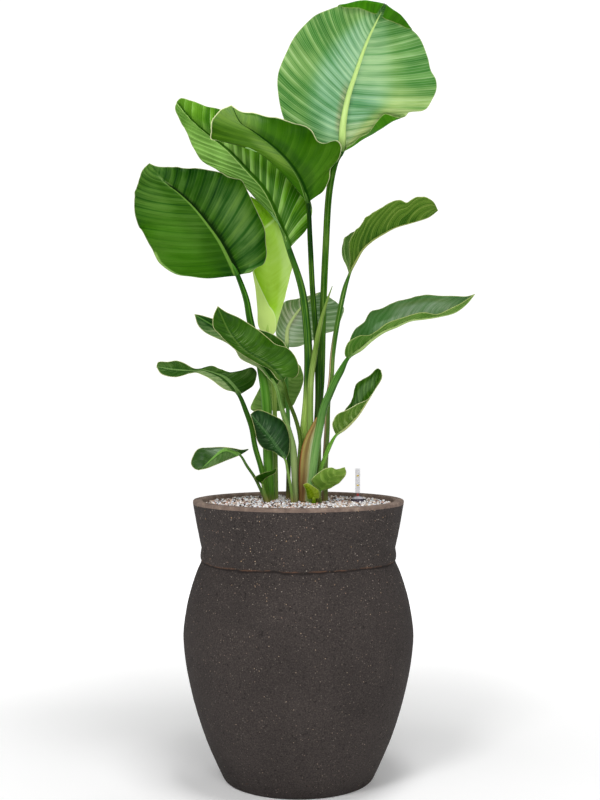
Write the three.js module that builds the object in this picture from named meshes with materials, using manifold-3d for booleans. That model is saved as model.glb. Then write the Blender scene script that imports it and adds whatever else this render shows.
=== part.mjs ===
// A potted bird of paradise: a jar-shaped planter, mineral granules, a root ball, a water gauge
// whose float slides, and nineteen leaves that stand in the granules.
// Millimetres, +Z up. The origin is on the floor, on the planter's axis; +Y is away from the viewer.

import * as THREE from 'three';
import { mergeVertices } from 'three/addons/utils/BufferGeometryUtils.js';
import Module from 'manifold-3d';

const wasm = await Module();
wasm.setup();

// ---------------------------------------------------------------- driving dimensions

const GAP = 0.3; // between pieces that rest on each other

// Planter: outer profile from the floor up, as [radius, height]
const PLANTER_HEIGHT = 540;
const PLANTER_SIDES = 42;
const PLANTER_OUTSIDE = [
  [142, 0], [148, 6], [160, 30], [180, 77], [196, 124], [209, 172], [218.5, 218], [224, 265],
  [224, 288], [217.5, 335], [209, 369], [197, 404], [191.5, 416], [189.6, 422], [191, 429],
  [191, 438], [189.4, 449], [195, 474], [202, 509], [206, 533], [204.5, 538],
];
// and its inside, from the inner floor up
const PLANTER_INSIDE = [
  [128, 20], [140, 34], [176, 124], [198, 218], [203.5, 276], [197, 335], [177, 404],
  [170, 430], [174, 470], [186, 526],
];
const RIM_OUTSIDE_RADIUS = 203;
const RIM_INSIDE_RADIUS = 187;
const RIM_EASE = 3; // height of the rim's eased inner edge

// Granules
const SOIL_HEIGHT = 530;
const SOIL_RINGS = 6;
const SOIL_RELIEF = 1.6;
const SOIL_MARGIN = 2; // the outermost ring of granules lies lower by this much

// Root ball that carries every stalk
const ROOT_CENTRE = [-10, 45];
const ROOT_TOP = 470;
const ROOT_PROFILE = [[62, 252], [96, 290], [106, 345], [102, 410], [88, 452], [76, ROOT_TOP]];
const ROOT_SIDES = 20;

// Water gauge
const GAUGE_CENTRE = [118, 43];
const PIPE_FOOT = 34;
const PIPE_RADIUS = 13;
const PIPE_BORE = 11;
const PIPE_LIP = 5; // radius of the opening in the pipe's foot
const COLLAR_RADIUS = 15;
const COLLAR_TOP = 535;
const SIGHT_RADIUS = 5.4;
const SIGHT_BORE = 4;
const SIGHT_TOP = 598;
const SIGHT_CAP = 2.5; // thickness of the sight tube's closed end
const CONE_TOP = 544;
const FLOAT_RADIUS = 9.4;
const FLOAT_HEIGHT = 75;
const ROD_RADIUS = 1.2;
const TIP_RADIUS = 2.5;
const TIP_BOTTOM = 540;
const TIP_HEIGHT = 8;
const GAUGE_SIDES = 16;
const TIP_SIDES = 12;

// Leaves
const BLADE_THICKNESS = 0.9;
const STALK_SIDES = 7;
const STALK_FREE = 534; // a stalk is straight and upright below this height
const HOLE_CLEARANCE = 0.4;
const HOLE_SIDES = 8;
const VEIN_SWEEP = 1.15; // veins start this much nearer the blade's base than they end
const RIB_DEPTH = 1.5; // depth of the midrib under the blade, by its radius
const RIB_SHARE = 0.8; // the midrib's radius at its base, by that of the stalk's end
const RIB_REACH = 0.3; // the stalk tapers this far into the midrib
const RIB_TIP_RADIUS = 0.5;
const COLUMN_SPREAD = 1.7; // columns of a blade stand closer together beside the midrib
const ROLL_RADIUS = 4;
const ROLL_TURN = 2.85; // radians that a rolled margin turns round at most
const ROW_CROWDING = 1.35; // rows of a blade stand closer together at its base

// Each leaf: stalk as [x, y, z, radius] from the soil up, then the midrib as [x, y, z] to the tip.
// size: rows along the blade, and columns in each half. ribRoot: the midrib's radius at the base.
// lead: below 1, veins run up to a place nearer the tip on the margin than where they start.
// left and right are the margins as [x, z], seen on the upper face with the tip up; a margin lies
// slope millimetres further back for each millimetre that it is away from the midrib.
// arch: how far a half bows up. wave: height and count of the waves along a margin.
// roll: how wide the margin is rolled under, as [share of the margin's length, width].
// sheath: free edge of the leaf sheath that stands out from the foot of the stalk, as [x, y, z].
const LEAVES = {
  leaf_crown: {
    colour: 0x7fa35f, size: [14, 4], wave: [4, 6], arch: [-0.05, -0.06], slope: [0.1, 0.15],
    lead: [0.85, 0.62], ribRoot: 8.2,
    stalk: [[39, 60, 533, 7], [40, 66, 694, 6.8], [46, 68, 774, 6.8], [49, 70, 891, 6.8],
      [55, 74, 1037, 6.8], [63, 78, 1159, 6.8], [76, 80, 1220, 7]],
    rib: [[86, 80, 1240], [89, 58, 1285], [98, 30, 1332], [114, -10, 1377], [131, -55, 1418],
      [146, -95, 1443], [160, -130, 1464]],
    left: [[99, 1247], [126, 1264], [162, 1283], [193, 1299], [222, 1308], [251, 1311],
      [262, 1325], [269, 1344], [267, 1361], [256, 1373], [248, 1395], [235, 1417], [209, 1438],
      [185, 1453]],
    right: [[48, 1234], [3, 1259], [-25, 1293], [-39, 1342], [-39, 1378], [-24, 1415],
      [-5, 1444], [32, 1474], [68, 1481], [103, 1481], [134, 1475]],
    roll: {
      left: [[0, 4], [0.03, 16], [0.1, 22], [0.19, 33], [0.25, 34], [0.3, 14], [0.34, 1.5],
        [0.82, 1.5], [0.86, 16], [0.91, 25], [1, 31]],
      right: [[0, 1.5], [0.79, 1.5], [0.82, 12], [0.86, 18], [0.91, 25], [1, 31]],
    },
  },
  leaf_back_left: {
    colour: 0x5d9a3a, size: [14, 4], wave: [3, 6], arch: [0.1, 0.1], slope: [-0.1, 0.05],
    lead: [0.68, 0.57],
    stalk: [[6, 45, 535, 10.5], [9, 45, 634, 10], [15, 46, 694, 10], [19, 48, 744, 9.5],
      [20, 52, 822, 8.5], [17, 58, 878, 8], [7, 66, 957, 7.2]],
    rib: [[-19, 72, 1039], [-39, 80, 1098], [-64, 92, 1155], [-99, 105, 1198],
      [-141, 125, 1245], [-177, 142, 1276], [-221, 165, 1318], [-257, 185, 1364]],
    left: [[-29, 1057], [-53, 1112], [-80, 1135], [-100, 1157], [-123, 1178], [-150, 1194],
      [-175, 1210], [-201, 1229], [-218, 1256], [-230, 1284], [-248, 1319], [-260, 1347]],
    right: [[-3, 1057], [17, 1080], [28, 1117], [19, 1154], [-3, 1203], [-40, 1250],
      [-87, 1295], [-130, 1323], [-163, 1339], [-198, 1352], [-228, 1365], [-248, 1371]],
  },
  leaf_arching: {
    colour: 0x3f8a22, size: [14, 4], wave: [4, 5], arch: [0.12, 0.12], slope: [0, 0.05],
    lead: [0.52, 0.65],
    stalk: [[29, 44, 533, 6], [33, 44, 635, 6], [39, 44, 734, 5.8], [37, 43, 833, 5.6],
      [34, 41, 877, 5.5], [28, 36, 954, 5.5], [23, 30, 1053, 5.2]],
    rib: [[19, 28, 1122], [7, 26, 1161], [-17, 28, 1201], [-50, 35, 1236], [-87, 45, 1266],
      [-115, 55, 1287], [-135, 64, 1327]],
    left: [[9, 1134], [-16, 1165], [-45, 1195], [-77, 1222], [-109, 1239], [-141, 1246],
      [-175, 1255], [-175, 1274], [-172, 1297], [-156, 1315]],
    right: [[30, 1136], [48, 1146], [62, 1174], [64, 1192], [80, 1212], [85, 1238],
      [76, 1249], [53, 1245], [39, 1250], [25, 1271], [3, 1284], [-32, 1293], [-83, 1308],
      [-115, 1314]],
  },
  leaf_left_broad: {
    colour: 0x2f7519, size: [14, 4], wave: [4, 6], arch: [0.1, 0.1], slope: [0.1, 0.1],
    lead: [0.58, 0.7],
    stalk: [[-57, 60, 533, 10], [-61, 60, 622, 10], [-64, 60, 726, 10], [-73, 58, 788, 8.5],
      [-97, 47, 897, 7], [-104, 42, 935, 6.2]],
    rib: [[-120, 36, 980], [-130, 35, 1002], [-154, 36, 1048], [-180, 38, 1084],
      [-208, 40, 1118], [-238, 42, 1146], [-270, 45, 1171], [-298, 48, 1207]],
    left: [[-130, 981], [-153, 978], [-182, 976], [-216, 980], [-245, 985], [-276, 1006],
      [-291, 1031], [-313, 1073], [-320, 1081], [-326, 1106], [-329, 1134], [-322, 1166],
      [-310, 1195]],
    right: [[-110, 987], [-96, 987], [-82, 998], [-69, 1005], [-63, 1023], [-65, 1051],
      [-67, 1074], [-81, 1109], [-100, 1147], [-113, 1173], [-141, 1179], [-159, 1190],
      [-190, 1195], [-239, 1199], [-283, 1201]],
  },
  leaf_lime_rolled: {
    colour: 0xa5cf50, size: [12, 3], wave: [0, 1], arch: [-0.2, -0.2], slope: [-0.3, -0.3],
    lead: [1, 1],
    stalk: [[-46, 80, 534, 5.5], [-47, 84, 633, 5], [-49, 92, 734, 4.6], [-56, 106, 816, 4.4]],
    rib: [[-64, 112, 861], [-62, 114, 898], [-58, 118, 960], [-58, 121, 1022],
      [-67, 123, 1074], [-81, 124, 1121], [-98, 124, 1154]],
    left: [[-81, 883], [-84, 921], [-88, 961], [-94, 996], [-99, 1041], [-101, 1083],
      [-102, 1120]],
    right: [[-49, 871], [-42, 895], [-29, 937], [-17, 986], [-12, 1014], [-22, 1060],
      [-39, 1096], [-62, 1129]],
  },
  leaf_behind: {
    colour: 0x7d9a7a, size: [10, 3], wave: [2, 4], arch: [0, 0], slope: [0.1, 0.1],
    lead: [0.9, 0.9], ribRoot: 4.6,
    stalk: [[-21, 100, 536, 4.5], [-20, 105, 613, 4.5], [-21, 115, 693, 4.2],
      [-25, 130, 775, 4]],
    rib: [[-24, 150, 844], [-22, 143, 883], [-9, 134, 906], [7, 124, 926], [26, 114, 941],
      [44, 106, 955]],
    left: [[-1, 845], [29, 858], [57, 872], [74, 878], [90, 904], [94, 925], [81, 934],
      [60, 947]],
    right: [[-38, 851], [-47, 875], [-42, 908], [-30, 936], [-1, 943], [21, 948]],
  },
  leaf_front_left: {
    colour: 0x2f6f22, size: [12, 3], wave: [2, 5], arch: [0.1, 0.1], slope: [-0.1, 0.1],
    lead: [1, 1],
    stalk: [[9, 24, 534, 4.5], [3, 22, 661, 4.2], [-6, 21, 698, 4], [-21, 20, 736, 3.9]],
    rib: [[-30, 18, 771], [-49, 14, 795], [-70, 10, 811], [-99, 5, 828], [-118, 0, 846],
      [-134, -6, 868], [-157, -14, 917]],
    left: [[-41, 774], [-57, 794], [-78, 804], [-120, 830], [-138, 845], [-155, 863],
      [-166, 876], [-166, 896]],
    right: [[-21, 781], [-7, 778], [1, 789], [-1, 807], [-8, 823], [-21, 836], [-45, 844],
      [-57, 854], [-78, 871], [-99, 885], [-118, 896], [-141, 906]],
  },
  leaf_under_left: {
    colour: 0x3f7a30, size: [10, 3], wave: [2, 5], arch: [0.05, 0.1], slope: [-0.1, 0.1],
    lead: [1, 1],
    stalk: [[-5, 22, 535, 7], [-8, 22, 604, 7], [-11, 23, 641, 6.8], [-21, 26, 679, 6],
      [-33, 32, 717, 4.8]],
    rib: [[-44, 36, 760], [-72, 35, 802], [-102, 36, 835], [-136, 38, 863], [-172, 38, 885],
      [-207, 36, 905]],
    left: [[-64, 782], [-77, 796], [-95, 805], [-116, 817], [-126, 833], [-142, 847],
      [-164, 857], [-188, 870], [-200, 883]],
    right: [[-29, 790], [-19, 820], [-28, 847], [-45, 861], [-63, 870], [-84, 876],
      [-116, 881], [-146, 889], [-170, 896], [-194, 903]],
  },
  leaf_twisted_left: {
    colour: 0x4c8038, size: [14, 3], wave: [2, 4], arch: [0.05, 0.05], slope: [-0.5, 0.5],
    lead: [1, 1],
    stalk: [[-60, 38, 534, 5.5], [-66, 36, 565, 5.5], [-75, 35, 603, 5.4],
      [-86, 35, 641, 5.3], [-93, 37, 679, 5.2], [-104, 39, 711, 5]],
    rib: [[-118, 40, 744], [-134, 34, 764], [-149, 30, 778], [-168, 27, 787],
      [-187, 25, 792], [-214, 22, 791], [-249, 20, 793], [-280, 16, 799]],
    left: [[-129, 750], [-144, 754], [-169, 771], [-198, 788], [-213, 785], [-228, 782],
      [-251, 779], [-270, 785]],
    right: [[-105, 752], [-89, 765], [-84, 790], [-93, 799], [-111, 794], [-131, 790],
      [-153, 794], [-174, 802], [-193, 798], [-206, 797], [-231, 809], [-243, 812],
      [-258, 810], [-277, 809]],
  },
  leaf_small_dark: {
    colour: 0x1f5526, size: [8, 3], wave: [1, 3], arch: [0.1, 0.1], slope: [0.2, 0.2],
    lead: [1, 1],
    stalk: [[-12, 5, 536, 3.2], [-15, 4, 563, 3], [-21, 6, 594, 2.8]],
    rib: [[-26, 8, 617], [-42, 6, 637], [-55, 4, 657], [-77, 0, 685], [-94, -4, 706]],
    left: [[-40, 626], [-49, 633], [-66, 637], [-80, 653], [-87, 681]],
    right: [[-19, 629], [-17, 645], [-17, 659], [-28, 691], [-49, 704], [-81, 715]],
  },
  leaf_lowest_left: {
    colour: 0x2a6a35, size: [10, 3], wave: [0, 1], arch: [0.1, 0.1], slope: [-0.2, 0.2],
    lead: [1, 1],
    stalk: [[-66, 27, 534, 3.4], [-77, 26, 562, 3.2], [-87, 25, 582, 3], [-102, 24, 604, 2.8]],
    rib: [[-115, 22, 625], [-131, 14, 634], [-146, 2, 636], [-164, -10, 623],
      [-180, -18, 608], [-193, -23, 598]],
    left: [[-123, 622], [-142, 615], [-157, 609], [-178, 601]],
    right: [[-98, 637], [-111, 636], [-130, 640], [-150, 642], [-173, 641], [-196, 638],
      [-205, 626], [-209, 610], [-201, 600]],
  },
  leaf_tiny_left: {
    colour: 0x3f7d28, size: [6, 2], wave: [0, 1], arch: [0.1, 0.1], slope: [0.2, -0.2],
    lead: [1, 1],
    stalk: [[-62, 20, 533, 3.8], [-67, 17, 549, 3.4]],
    rib: [[-70, 14, 567], [-72, 10, 581], [-60, 6, 589], [-41, 2, 602]],
    left: [[-86, 581], [-69, 591], [-50, 596]],
    right: [[-68, 576], [-60, 583], [-44, 592]],
  },
  leaf_upper_right: {
    colour: 0x4f8030, size: [14, 3], wave: [2, 5], arch: [-0.1, -0.1], slope: [0.9, -0.7],
    lead: [1, 1],
    stalk: [[53, 42, 535, 6], [53, 42, 595, 5.8], [57, 42, 674, 5.6], [59, 42, 734, 5.4],
      [65, 42, 775, 5.3], [68, 42, 822, 5.2], [76, 42, 877, 5], [92, 41, 955, 4.8]],
    rib: [[101, 40, 983], [105, 40, 997], [115, 38, 1016], [127, 36, 1035],
      [148, 33, 1053], [169, 30, 1065], [191, 27, 1076], [228, 22, 1086], [257, 18, 1095],
      [275, 16, 1108]],
    left: [[96, 1002], [88, 1022], [88, 1038], [93, 1054], [104, 1069], [124, 1080],
      [160, 1103], [194, 1117], [227, 1122], [256, 1124]],
    right: [[102, 1011], [100, 1038], [105, 1057], [113, 1070], [122, 1079], [134, 1093],
      [150, 1104], [172, 1115], [196, 1124], [211, 1121], [230, 1129], [246, 1130],
      [262, 1124]],
  },
  leaf_long_right: {
    colour: 0x4c7f45, size: [14, 3], wave: [2, 5], arch: [-0.1, -0.1], slope: [0.9, -0.9],
    lead: [1, 1],
    stalk: [[21, 8, 532, 9], [27, 6, 586, 8.6], [34, 3, 642, 8.2], [41, 1, 679, 8],
      [49, -2, 717, 7.8], [60, -3, 744, 7.6], [73, -5, 773, 7.2], [83, -6, 791, 6.6]],
    sheath: [[1, 8, 535], [1, 8, 604], [7, 7, 642], [17, 6, 668], [35, 3, 700]],
    rib: [[97, -8, 816], [121, -12, 836], [141, -16, 853], [166, -20, 869],
      [187, -24, 877], [216, -28, 889], [244, -32, 892], [273, -36, 896], [301, -40, 903],
      [322, -44, 918], [338, -48, 937]],
    left: [[98, 832], [102, 854], [113, 876], [129, 886], [143, 910], [167, 917],
      [190, 927], [210, 934], [246, 938], [290, 937], [324, 934]],
    right: [[91, 819], [90, 832], [96, 846], [120, 858], [136, 860], [150, 868],
      [171, 881], [195, 892], [218, 898], [243, 902], [268, 900], [303, 915]],
  },
  leaf_lower_right: {
    colour: 0x3d7a1f, size: [10, 3], wave: [1, 4], arch: [-0.1, -0.1], slope: [0.9, -0.7],
    lead: [1, 1],
    stalk: [[39, 20, 533, 4.6], [44, 20, 596, 4.6], [50, 19, 614, 4.4], [60, 15, 640, 4.2]],
    rib: [[74, 8, 665], [96, 4, 684], [115, 0, 704], [132, -4, 729], [144, -7, 748],
      [155, -10, 771], [161, -12, 792]],
    left: [[77, 685], [90, 712], [103, 728], [108, 742], [115, 764], [126, 775],
      [140, 783], [154, 796]],
    right: [[69, 675], [66, 687], [75, 705], [93, 715], [115, 726], [138, 738],
      [153, 759], [163, 779]],
  },
  leaf_young_right: {
    colour: 0x7fae45, size: [8, 3], wave: [1.5, 4], arch: [0.1, 0.1], slope: [0.1, 0.1],
    lead: [1, 1],
    stalk: [[43, 6, 534, 3]],
    rib: [[43, -4, 556], [56, -12, 574], [71, -17, 590], [90, -21, 604]],
    left: [[28, 570], [25, 578], [41, 594], [50, 600], [65, 603], [73, 600]],
    right: [[62, 562], [82, 575], [93, 592]],
  },
  leaf_young_front: {
    colour: 0x9dbb3a, size: [6, 2], wave: [0, 1], arch: [0.2, 0.2], slope: [0.2, 0.2],
    lead: [1, 1],
    stalk: [[30, -11, 530, 4.5]],
    rib: [[30, -14, 542], [26, -17, 553], [20, -19, 563], [9, -21, 570]],
    left: [[19, 541], [14, 559]],
    right: [[40, 543], [40, 557], [28, 567], [17, 573]],
  },
  leaf_far_back: {
    colour: 0x55754c, size: [8, 3], wave: [1, 3], arch: [0.05, 0.05], slope: [0.1, 0.1],
    lead: [1, 1],
    stalk: [[-62, 92, 535, 4], [-64, 106, 632, 3.8]],
    rib: [[-62, 134, 713], [-44, 142, 736], [-24, 148, 763], [-7, 152, 786], [5, 154, 804]],
    left: [[-79, 709], [-99, 715], [-83, 755], [-63, 788], [-36, 811], [-11, 817]],
    right: [[-40, 711], [-24, 718], [-12, 722], [-2, 740], [5, 755], [11, 780]],
  },
  leaf_spear: {
    colour: 0x6fa53c,
    stalk: [[25, 27, 533, 5.2], [24, 28, 654, 5.8], [25, 30, 774, 6], [34, 28, 835, 5.5],
      [44, 24, 887, 4.2], [55, 20, 925, 2.6], [67, 18, 959, 0.6]],
  },
};

// ---------------------------------------------------------------- solids

function manifoldOf(geometry) {
  const bare = geometry.clone();
  bare.deleteAttribute('normal');
  bare.deleteAttribute('uv');
  const merged = mergeVertices(bare, 1e-4);
  return new wasm.Manifold(new wasm.Mesh({
    numProp: 3,
    vertProperties: new Float32Array(merged.attributes.position.array),
    triVerts: new Uint32Array(merged.index.array),
  }));
}

function geometryOf(solid) {
  const { numProp, vertProperties, triVerts } = solid.getMesh();
  const positions = new Float32Array((vertProperties.length / numProp) * 3);
  for (let i = 0; i < positions.length / 3; i += 1) {
    positions.set(vertProperties.subarray(i * numProp, i * numProp + 3), i * 3);
  }
  const geometry = new THREE.BufferGeometry();
  geometry.setAttribute('position', new THREE.BufferAttribute(positions, 3));
  geometry.setIndex(new THREE.BufferAttribute(new Uint32Array(triVerts), 1));
  geometry.computeVertexNormals();
  return geometry;
}

function meshGeometry(points, triangles) {
  const geometry = new THREE.BufferGeometry().setFromPoints(points);
  geometry.setIndex(triangles);
  geometry.computeVertexNormals();
  return geometry;
}

// A profile of [radius, height] turned about a vertical axis at [x, y].
function turned(profile, sides, [x, y] = [0, 0]) {
  const geometry = new THREE.LatheGeometry(profile.map(([r, z]) => new THREE.Vector2(r, z)), sides);
  geometry.rotateX(Math.PI / 2);
  geometry.translate(x, y, 0);
  return geometry;
}

function pathThrough(points) {
  const corners = points.map((p) => new THREE.Vector3(...p));
  const path = new THREE.CatmullRomCurve3(corners, false, 'centripetal');
  path.arcLengthDivisions = 400;
  return path;
}

// A round rod of changing radius along a row of points, closed at both ends.
function rod(centres, radii, sides) {
  const points = [];
  const triangles = [];
  const across = new THREE.Vector3(1, 0, 0);
  centres.forEach((centre, i) => {
    const along = centres[Math.min(i + 1, centres.length - 1)].clone()
      .sub(centres[Math.max(i - 1, 0)]).normalize();
    if (i === 0) along.set(0, 0, 1);
    across.addScaledVector(along, -across.dot(along)).normalize();
    const third = along.clone().cross(across);
    for (let k = 0; k < sides; k += 1) {
      const angle = (2 * Math.PI * k) / sides;
      points.push(centre.clone().addScaledVector(across, radii[i] * Math.cos(angle))
        .addScaledVector(third, radii[i] * Math.sin(angle)));
    }
  });
  for (let i = 0; i < centres.length - 1; i += 1) {
    for (let k = 0; k < sides; k += 1) {
      const a = i * sides + k;
      const b = i * sides + ((k + 1) % sides);
      triangles.push(a, b, b + sides, a, b + sides, a + sides);
    }
  }
  const last = (centres.length - 1) * sides;
  for (let k = 1; k < sides - 1; k += 1) {
    triangles.push(0, k + 1, k, last, last + k, last + k + 1);
  }
  return meshGeometry(points, triangles);
}

// Gives an open sheet a thickness: one copy on each side, and a wall along its border. The copy
// below lies deeper where depths says so.
function thickened({ points, triangles, depths = [] }) {
  const normals = points.map(() => new THREE.Vector3());
  const edges = new Map();
  for (let i = 0; i < triangles.length; i += 3) {
    const corners = triangles.slice(i, i + 3);
    const [a, b, c] = corners.map((k) => points[k]);
    const normal = b.clone().sub(a).cross(c.clone().sub(a));
    corners.forEach((k, j) => {
      normals[k].add(normal);
      edges.set(`${k},${corners[(j + 1) % 3]}`, [k, corners[(j + 1) % 3]]);
    });
  }
  const count = points.length;
  const half = BLADE_THICKNESS / 2;
  const upper = points.map((p, k) => p.clone().addScaledVector(normals[k].normalize(), half));
  const lower = points.map((p, k) => p.clone().addScaledVector(normals[k], -half - (depths[k] ?? 0)));
  const faces = [...triangles];
  for (let i = 0; i < triangles.length; i += 3) {
    faces.push(triangles[i] + count, triangles[i + 2] + count, triangles[i + 1] + count);
  }
  for (const [a, b] of edges.values()) {
    if (!edges.has(`${b},${a}`)) faces.push(b, a, a + count, b, a + count, b + count);
  }
  return meshGeometry([...upper, ...lower], faces);
}

// ---------------------------------------------------------------- leaves

// The margin as a path in space: its depth follows the midrib's, plus the half's slope.
function marginPath(rib, outline, slope) {
  const start = rib.getPointAt(0);
  const end = rib.getPointAt(1);
  const corners = [[start.x, start.z], ...outline, [end.x, end.z]];
  const lengths = [0];
  corners.slice(1).forEach(([x, z], i) => {
    lengths.push(lengths[i] + Math.hypot(x - corners[i][0], z - corners[i][1]));
  });
  return pathThrough(corners.map(([x, z], i) => {
    const near = rib.getPointAt((lengths[i] / lengths.at(-1)) ** VEIN_SWEEP);
    return [x, near.y + slope * Math.hypot(x - near.x, z - near.z), z];
  }));
}

// A value read off a list of [place, value] pairs, straight between them.
function between(pairs, place) {
  const next = pairs.findIndex(([at]) => at >= place);
  if (next < 0) return pairs.at(-1)[1];
  if (next === 0) return pairs[0][1];
  const [a, low] = pairs[next - 1];
  const [b, high] = pairs[next];
  return low + ((high - low) * (place - a)) / (b - a);
}

// The midrib's radius, from the stalk's at the blade's base to almost nothing at its tip.
function ribRadius(leaf, t) {
  const root = leaf.ribRoot ?? leaf.stalk.at(-1)[3] * RIB_SHARE;
  return RIB_TIP_RADIUS + (root - RIB_TIP_RADIUS) * (1 - t);
}

// The blade as an open sheet: rows across it from base to tip, and the rolled margin if it has one.
function bladeSheet(leaf) {
  const [rows, columns] = leaf.size;
  const rib = pathThrough(leaf.rib);
  const sides = ['left', 'right'].map((name, k) => ({
    sign: k === 0 ? -1 : 1,
    margin: marginPath(rib, leaf[name], leaf.slope[k]),
    arch: leaf.arch[k],
    lead: leaf.lead[k],
  }));
  const place = (side, t, s) => {
    const middle = rib.getPointAt(t ** VEIN_SWEEP);
    const along = rib.getTangentAt(t ** VEIN_SWEEP);
    const out = side.margin.getPointAt(t ** side.lead).sub(middle);
    const up = out.clone().cross(along).multiplyScalar(side.sign).normalize();
    const bow = side.arch * out.length() * 2 * s * (1 - s);
    const [height, count] = leaf.wave;
    const wave = height * s * s * Math.sin(2 * Math.PI * count * t + side.sign) * Math.sin(Math.PI * t);
    return middle.addScaledVector(out, s).addScaledVector(up, bow + wave);
  };
  const points = [rib.getPointAt(0), rib.getPointAt(1)];
  const depths = [ribRadius(leaf, 0) * RIB_DEPTH, ribRadius(leaf, 1) * RIB_DEPTH];
  const triangles = [];
  const width = 2 * columns + 1;
  const index = (i, j) => {
    if (i === 0) return 0;
    return i === rows ? 1 : 2 + (i - 1) * width + j;
  };
  const crowding = Math.min(ROW_CROWDING, 1 / Math.min(...leaf.lead));
  const shares = Array.from({ length: rows + 1 }, (_, i) => (i / rows) ** crowding);
  for (let i = 1; i < rows; i += 1) {
    for (let j = 0; j < width; j += 1) {
      const side = sides[j < columns ? 0 : 1];
      points.push(place(side, shares[i], (Math.abs(j - columns) / columns) ** COLUMN_SPREAD));
      depths.push(j === columns ? ribRadius(leaf, shares[i]) * RIB_DEPTH : 0);
    }
  }
  for (let i = 0; i < rows; i += 1) {
    for (let j = 0; j < width - 1; j += 1) {
      const [a, b, c, d] = [index(i, j), index(i, j + 1), index(i + 1, j + 1), index(i + 1, j)];
      if (a !== b) triangles.push(a, b, c);
      if (c !== d) triangles.push(a, c, d);
    }
  }
  if (leaf.roll) addRoll(leaf, points, triangles, index, shares);
  return { points, triangles, depths };
}

// The margin rolled under: a strip that turns round from the margin towards the lower face.
function addRoll(leaf, points, triangles, index, shares) {
  const [rows, columns] = leaf.size;
  const [leftLead, rightLead] = leaf.lead;
  const border = [];
  for (let i = 1; i < rows; i += 1) {
    border.push([index(i, 0), index(i, 1), 'left', shares[i] ** leftLead]);
  }
  border.push([index(rows, 0), index(rows - 1, columns), 'left', 1]);
  for (let i = rows - 1; i > 0; i -= 1) {
    border.push([index(i, 2 * columns), index(i, 2 * columns - 1), 'right', shares[i] ** rightLead]);
  }
  const turns = [0.5, 1];
  const strip = border.map(([k, inner, side, share], b) => {
    const before = points[border[Math.max(b - 1, 0)][0]];
    const after = points[border[Math.min(b + 1, border.length - 1)][0]];
    const along = after.clone().sub(before).normalize();
    const out = points[k].clone().sub(points[inner]);
    out.addScaledVector(along, -out.dot(along)).normalize();
    const up = out.clone().cross(along);
    return turns.map((turn) => {
      const length = between(leaf.roll[side], share) * turn;
      const angle = Math.min(length / ROLL_RADIUS, ROLL_TURN);
      const rest = length - angle * ROLL_RADIUS;
      points.push(points[k].clone()
        .addScaledVector(out, ROLL_RADIUS * Math.sin(angle) + rest * Math.cos(angle))
        .addScaledVector(up, -ROLL_RADIUS * (1 - Math.cos(angle)) - rest * Math.sin(angle)));
      return points.length - 1;
    });
  });
  for (let b = 0; b < border.length - 1; b += 1) {
    const here = [border[b][0], ...strip[b]];
    const next = [border[b + 1][0], ...strip[b + 1]];
    for (let m = 0; m < turns.length; m += 1) {
      triangles.push(here[m], next[m], next[m + 1], here[m], next[m + 1], here[m + 1]);
    }
  }
}

// The stalk, from the root ball to the start of the midrib.
function stalkNodes(leaf) {
  const [[x, y, , foot]] = leaf.stalk;
  const nodes = [[x, y, STALK_FREE, foot], ...leaf.stalk.slice(1)];
  if (leaf.rib) {
    nodes.push([...leaf.rib[0], ribRadius(leaf, 0)]);
    nodes.push([...leaf.rib[1], ribRadius(leaf, RIB_REACH)]);
  }
  return nodes;
}

function stalkGeometry(leaf) {
  const nodes = stalkNodes(leaf);
  const [x, y, , foot] = nodes[0];
  const path = pathThrough([[x, y, ROOT_TOP + GAP], ...nodes.map((n) => n.slice(0, 3))]);
  const centres = [new THREE.Vector3(x, y, ROOT_TOP + GAP)];
  const radii = [foot];
  nodes.forEach((node, i) => {
    const next = nodes[i + 1];
    centres.push(new THREE.Vector3(...node.slice(0, 3)));
    radii.push(node[3]);
    if (next) {
      centres.push(path.getPoint((i + 1.5) / nodes.length));
      radii.push((node[3] + next[3]) / 2);
    }
  });
  return rod(centres, radii, STALK_SIDES);
}

// The sheath as an open sheet between its free edge and the middle of the stalk.
function sheathSheet(leaf) {
  const points = [];
  const triangles = [];
  leaf.sheath.forEach((edge, i) => {
    const free = new THREE.Vector3(...edge);
    const above = leaf.stalk.findIndex(([, , z]) => z > free.z);
    const [low, high] = [leaf.stalk[above - 1], leaf.stalk[above]];
    const share = (free.z - low[2]) / (high[2] - low[2]);
    const middle = new THREE.Vector3(...low.slice(0, 3));
    points.push(free, middle.lerp(new THREE.Vector3(...high.slice(0, 3)), share));
    if (i) triangles.push(2 * i - 2, 2 * i - 1, 2 * i + 1, 2 * i - 2, 2 * i + 1, 2 * i);
  });
  return { points, triangles };
}

function leafGeometry(leaf) {
  let solid = manifoldOf(stalkGeometry(leaf));
  if (leaf.rib) solid = solid.add(manifoldOf(thickened(bladeSheet(leaf))));
  if (leaf.sheath) solid = solid.add(manifoldOf(thickened(sheathSheet(leaf))));
  return geometryOf(solid);
}

// ---------------------------------------------------------------- planter, granules, roots

function planterGeometry() {
  const rim = [[RIM_OUTSIDE_RADIUS, PLANTER_HEIGHT], [RIM_INSIDE_RADIUS + 2, PLANTER_HEIGHT],
    [RIM_INSIDE_RADIUS, PLANTER_HEIGHT - RIM_EASE]];
  return turned([[0, 0], ...PLANTER_OUTSIDE, ...rim, ...PLANTER_INSIDE.toReversed(),
    [0, PLANTER_INSIDE[0][1]]], PLANTER_SIDES);
}

// A random number from 0 to 1 that depends only on its seed.
function noise(seed) {
  const value = Math.sin(seed * 127.1 + 311.7) * 43758.5453;
  return value - Math.floor(value);
}

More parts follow.
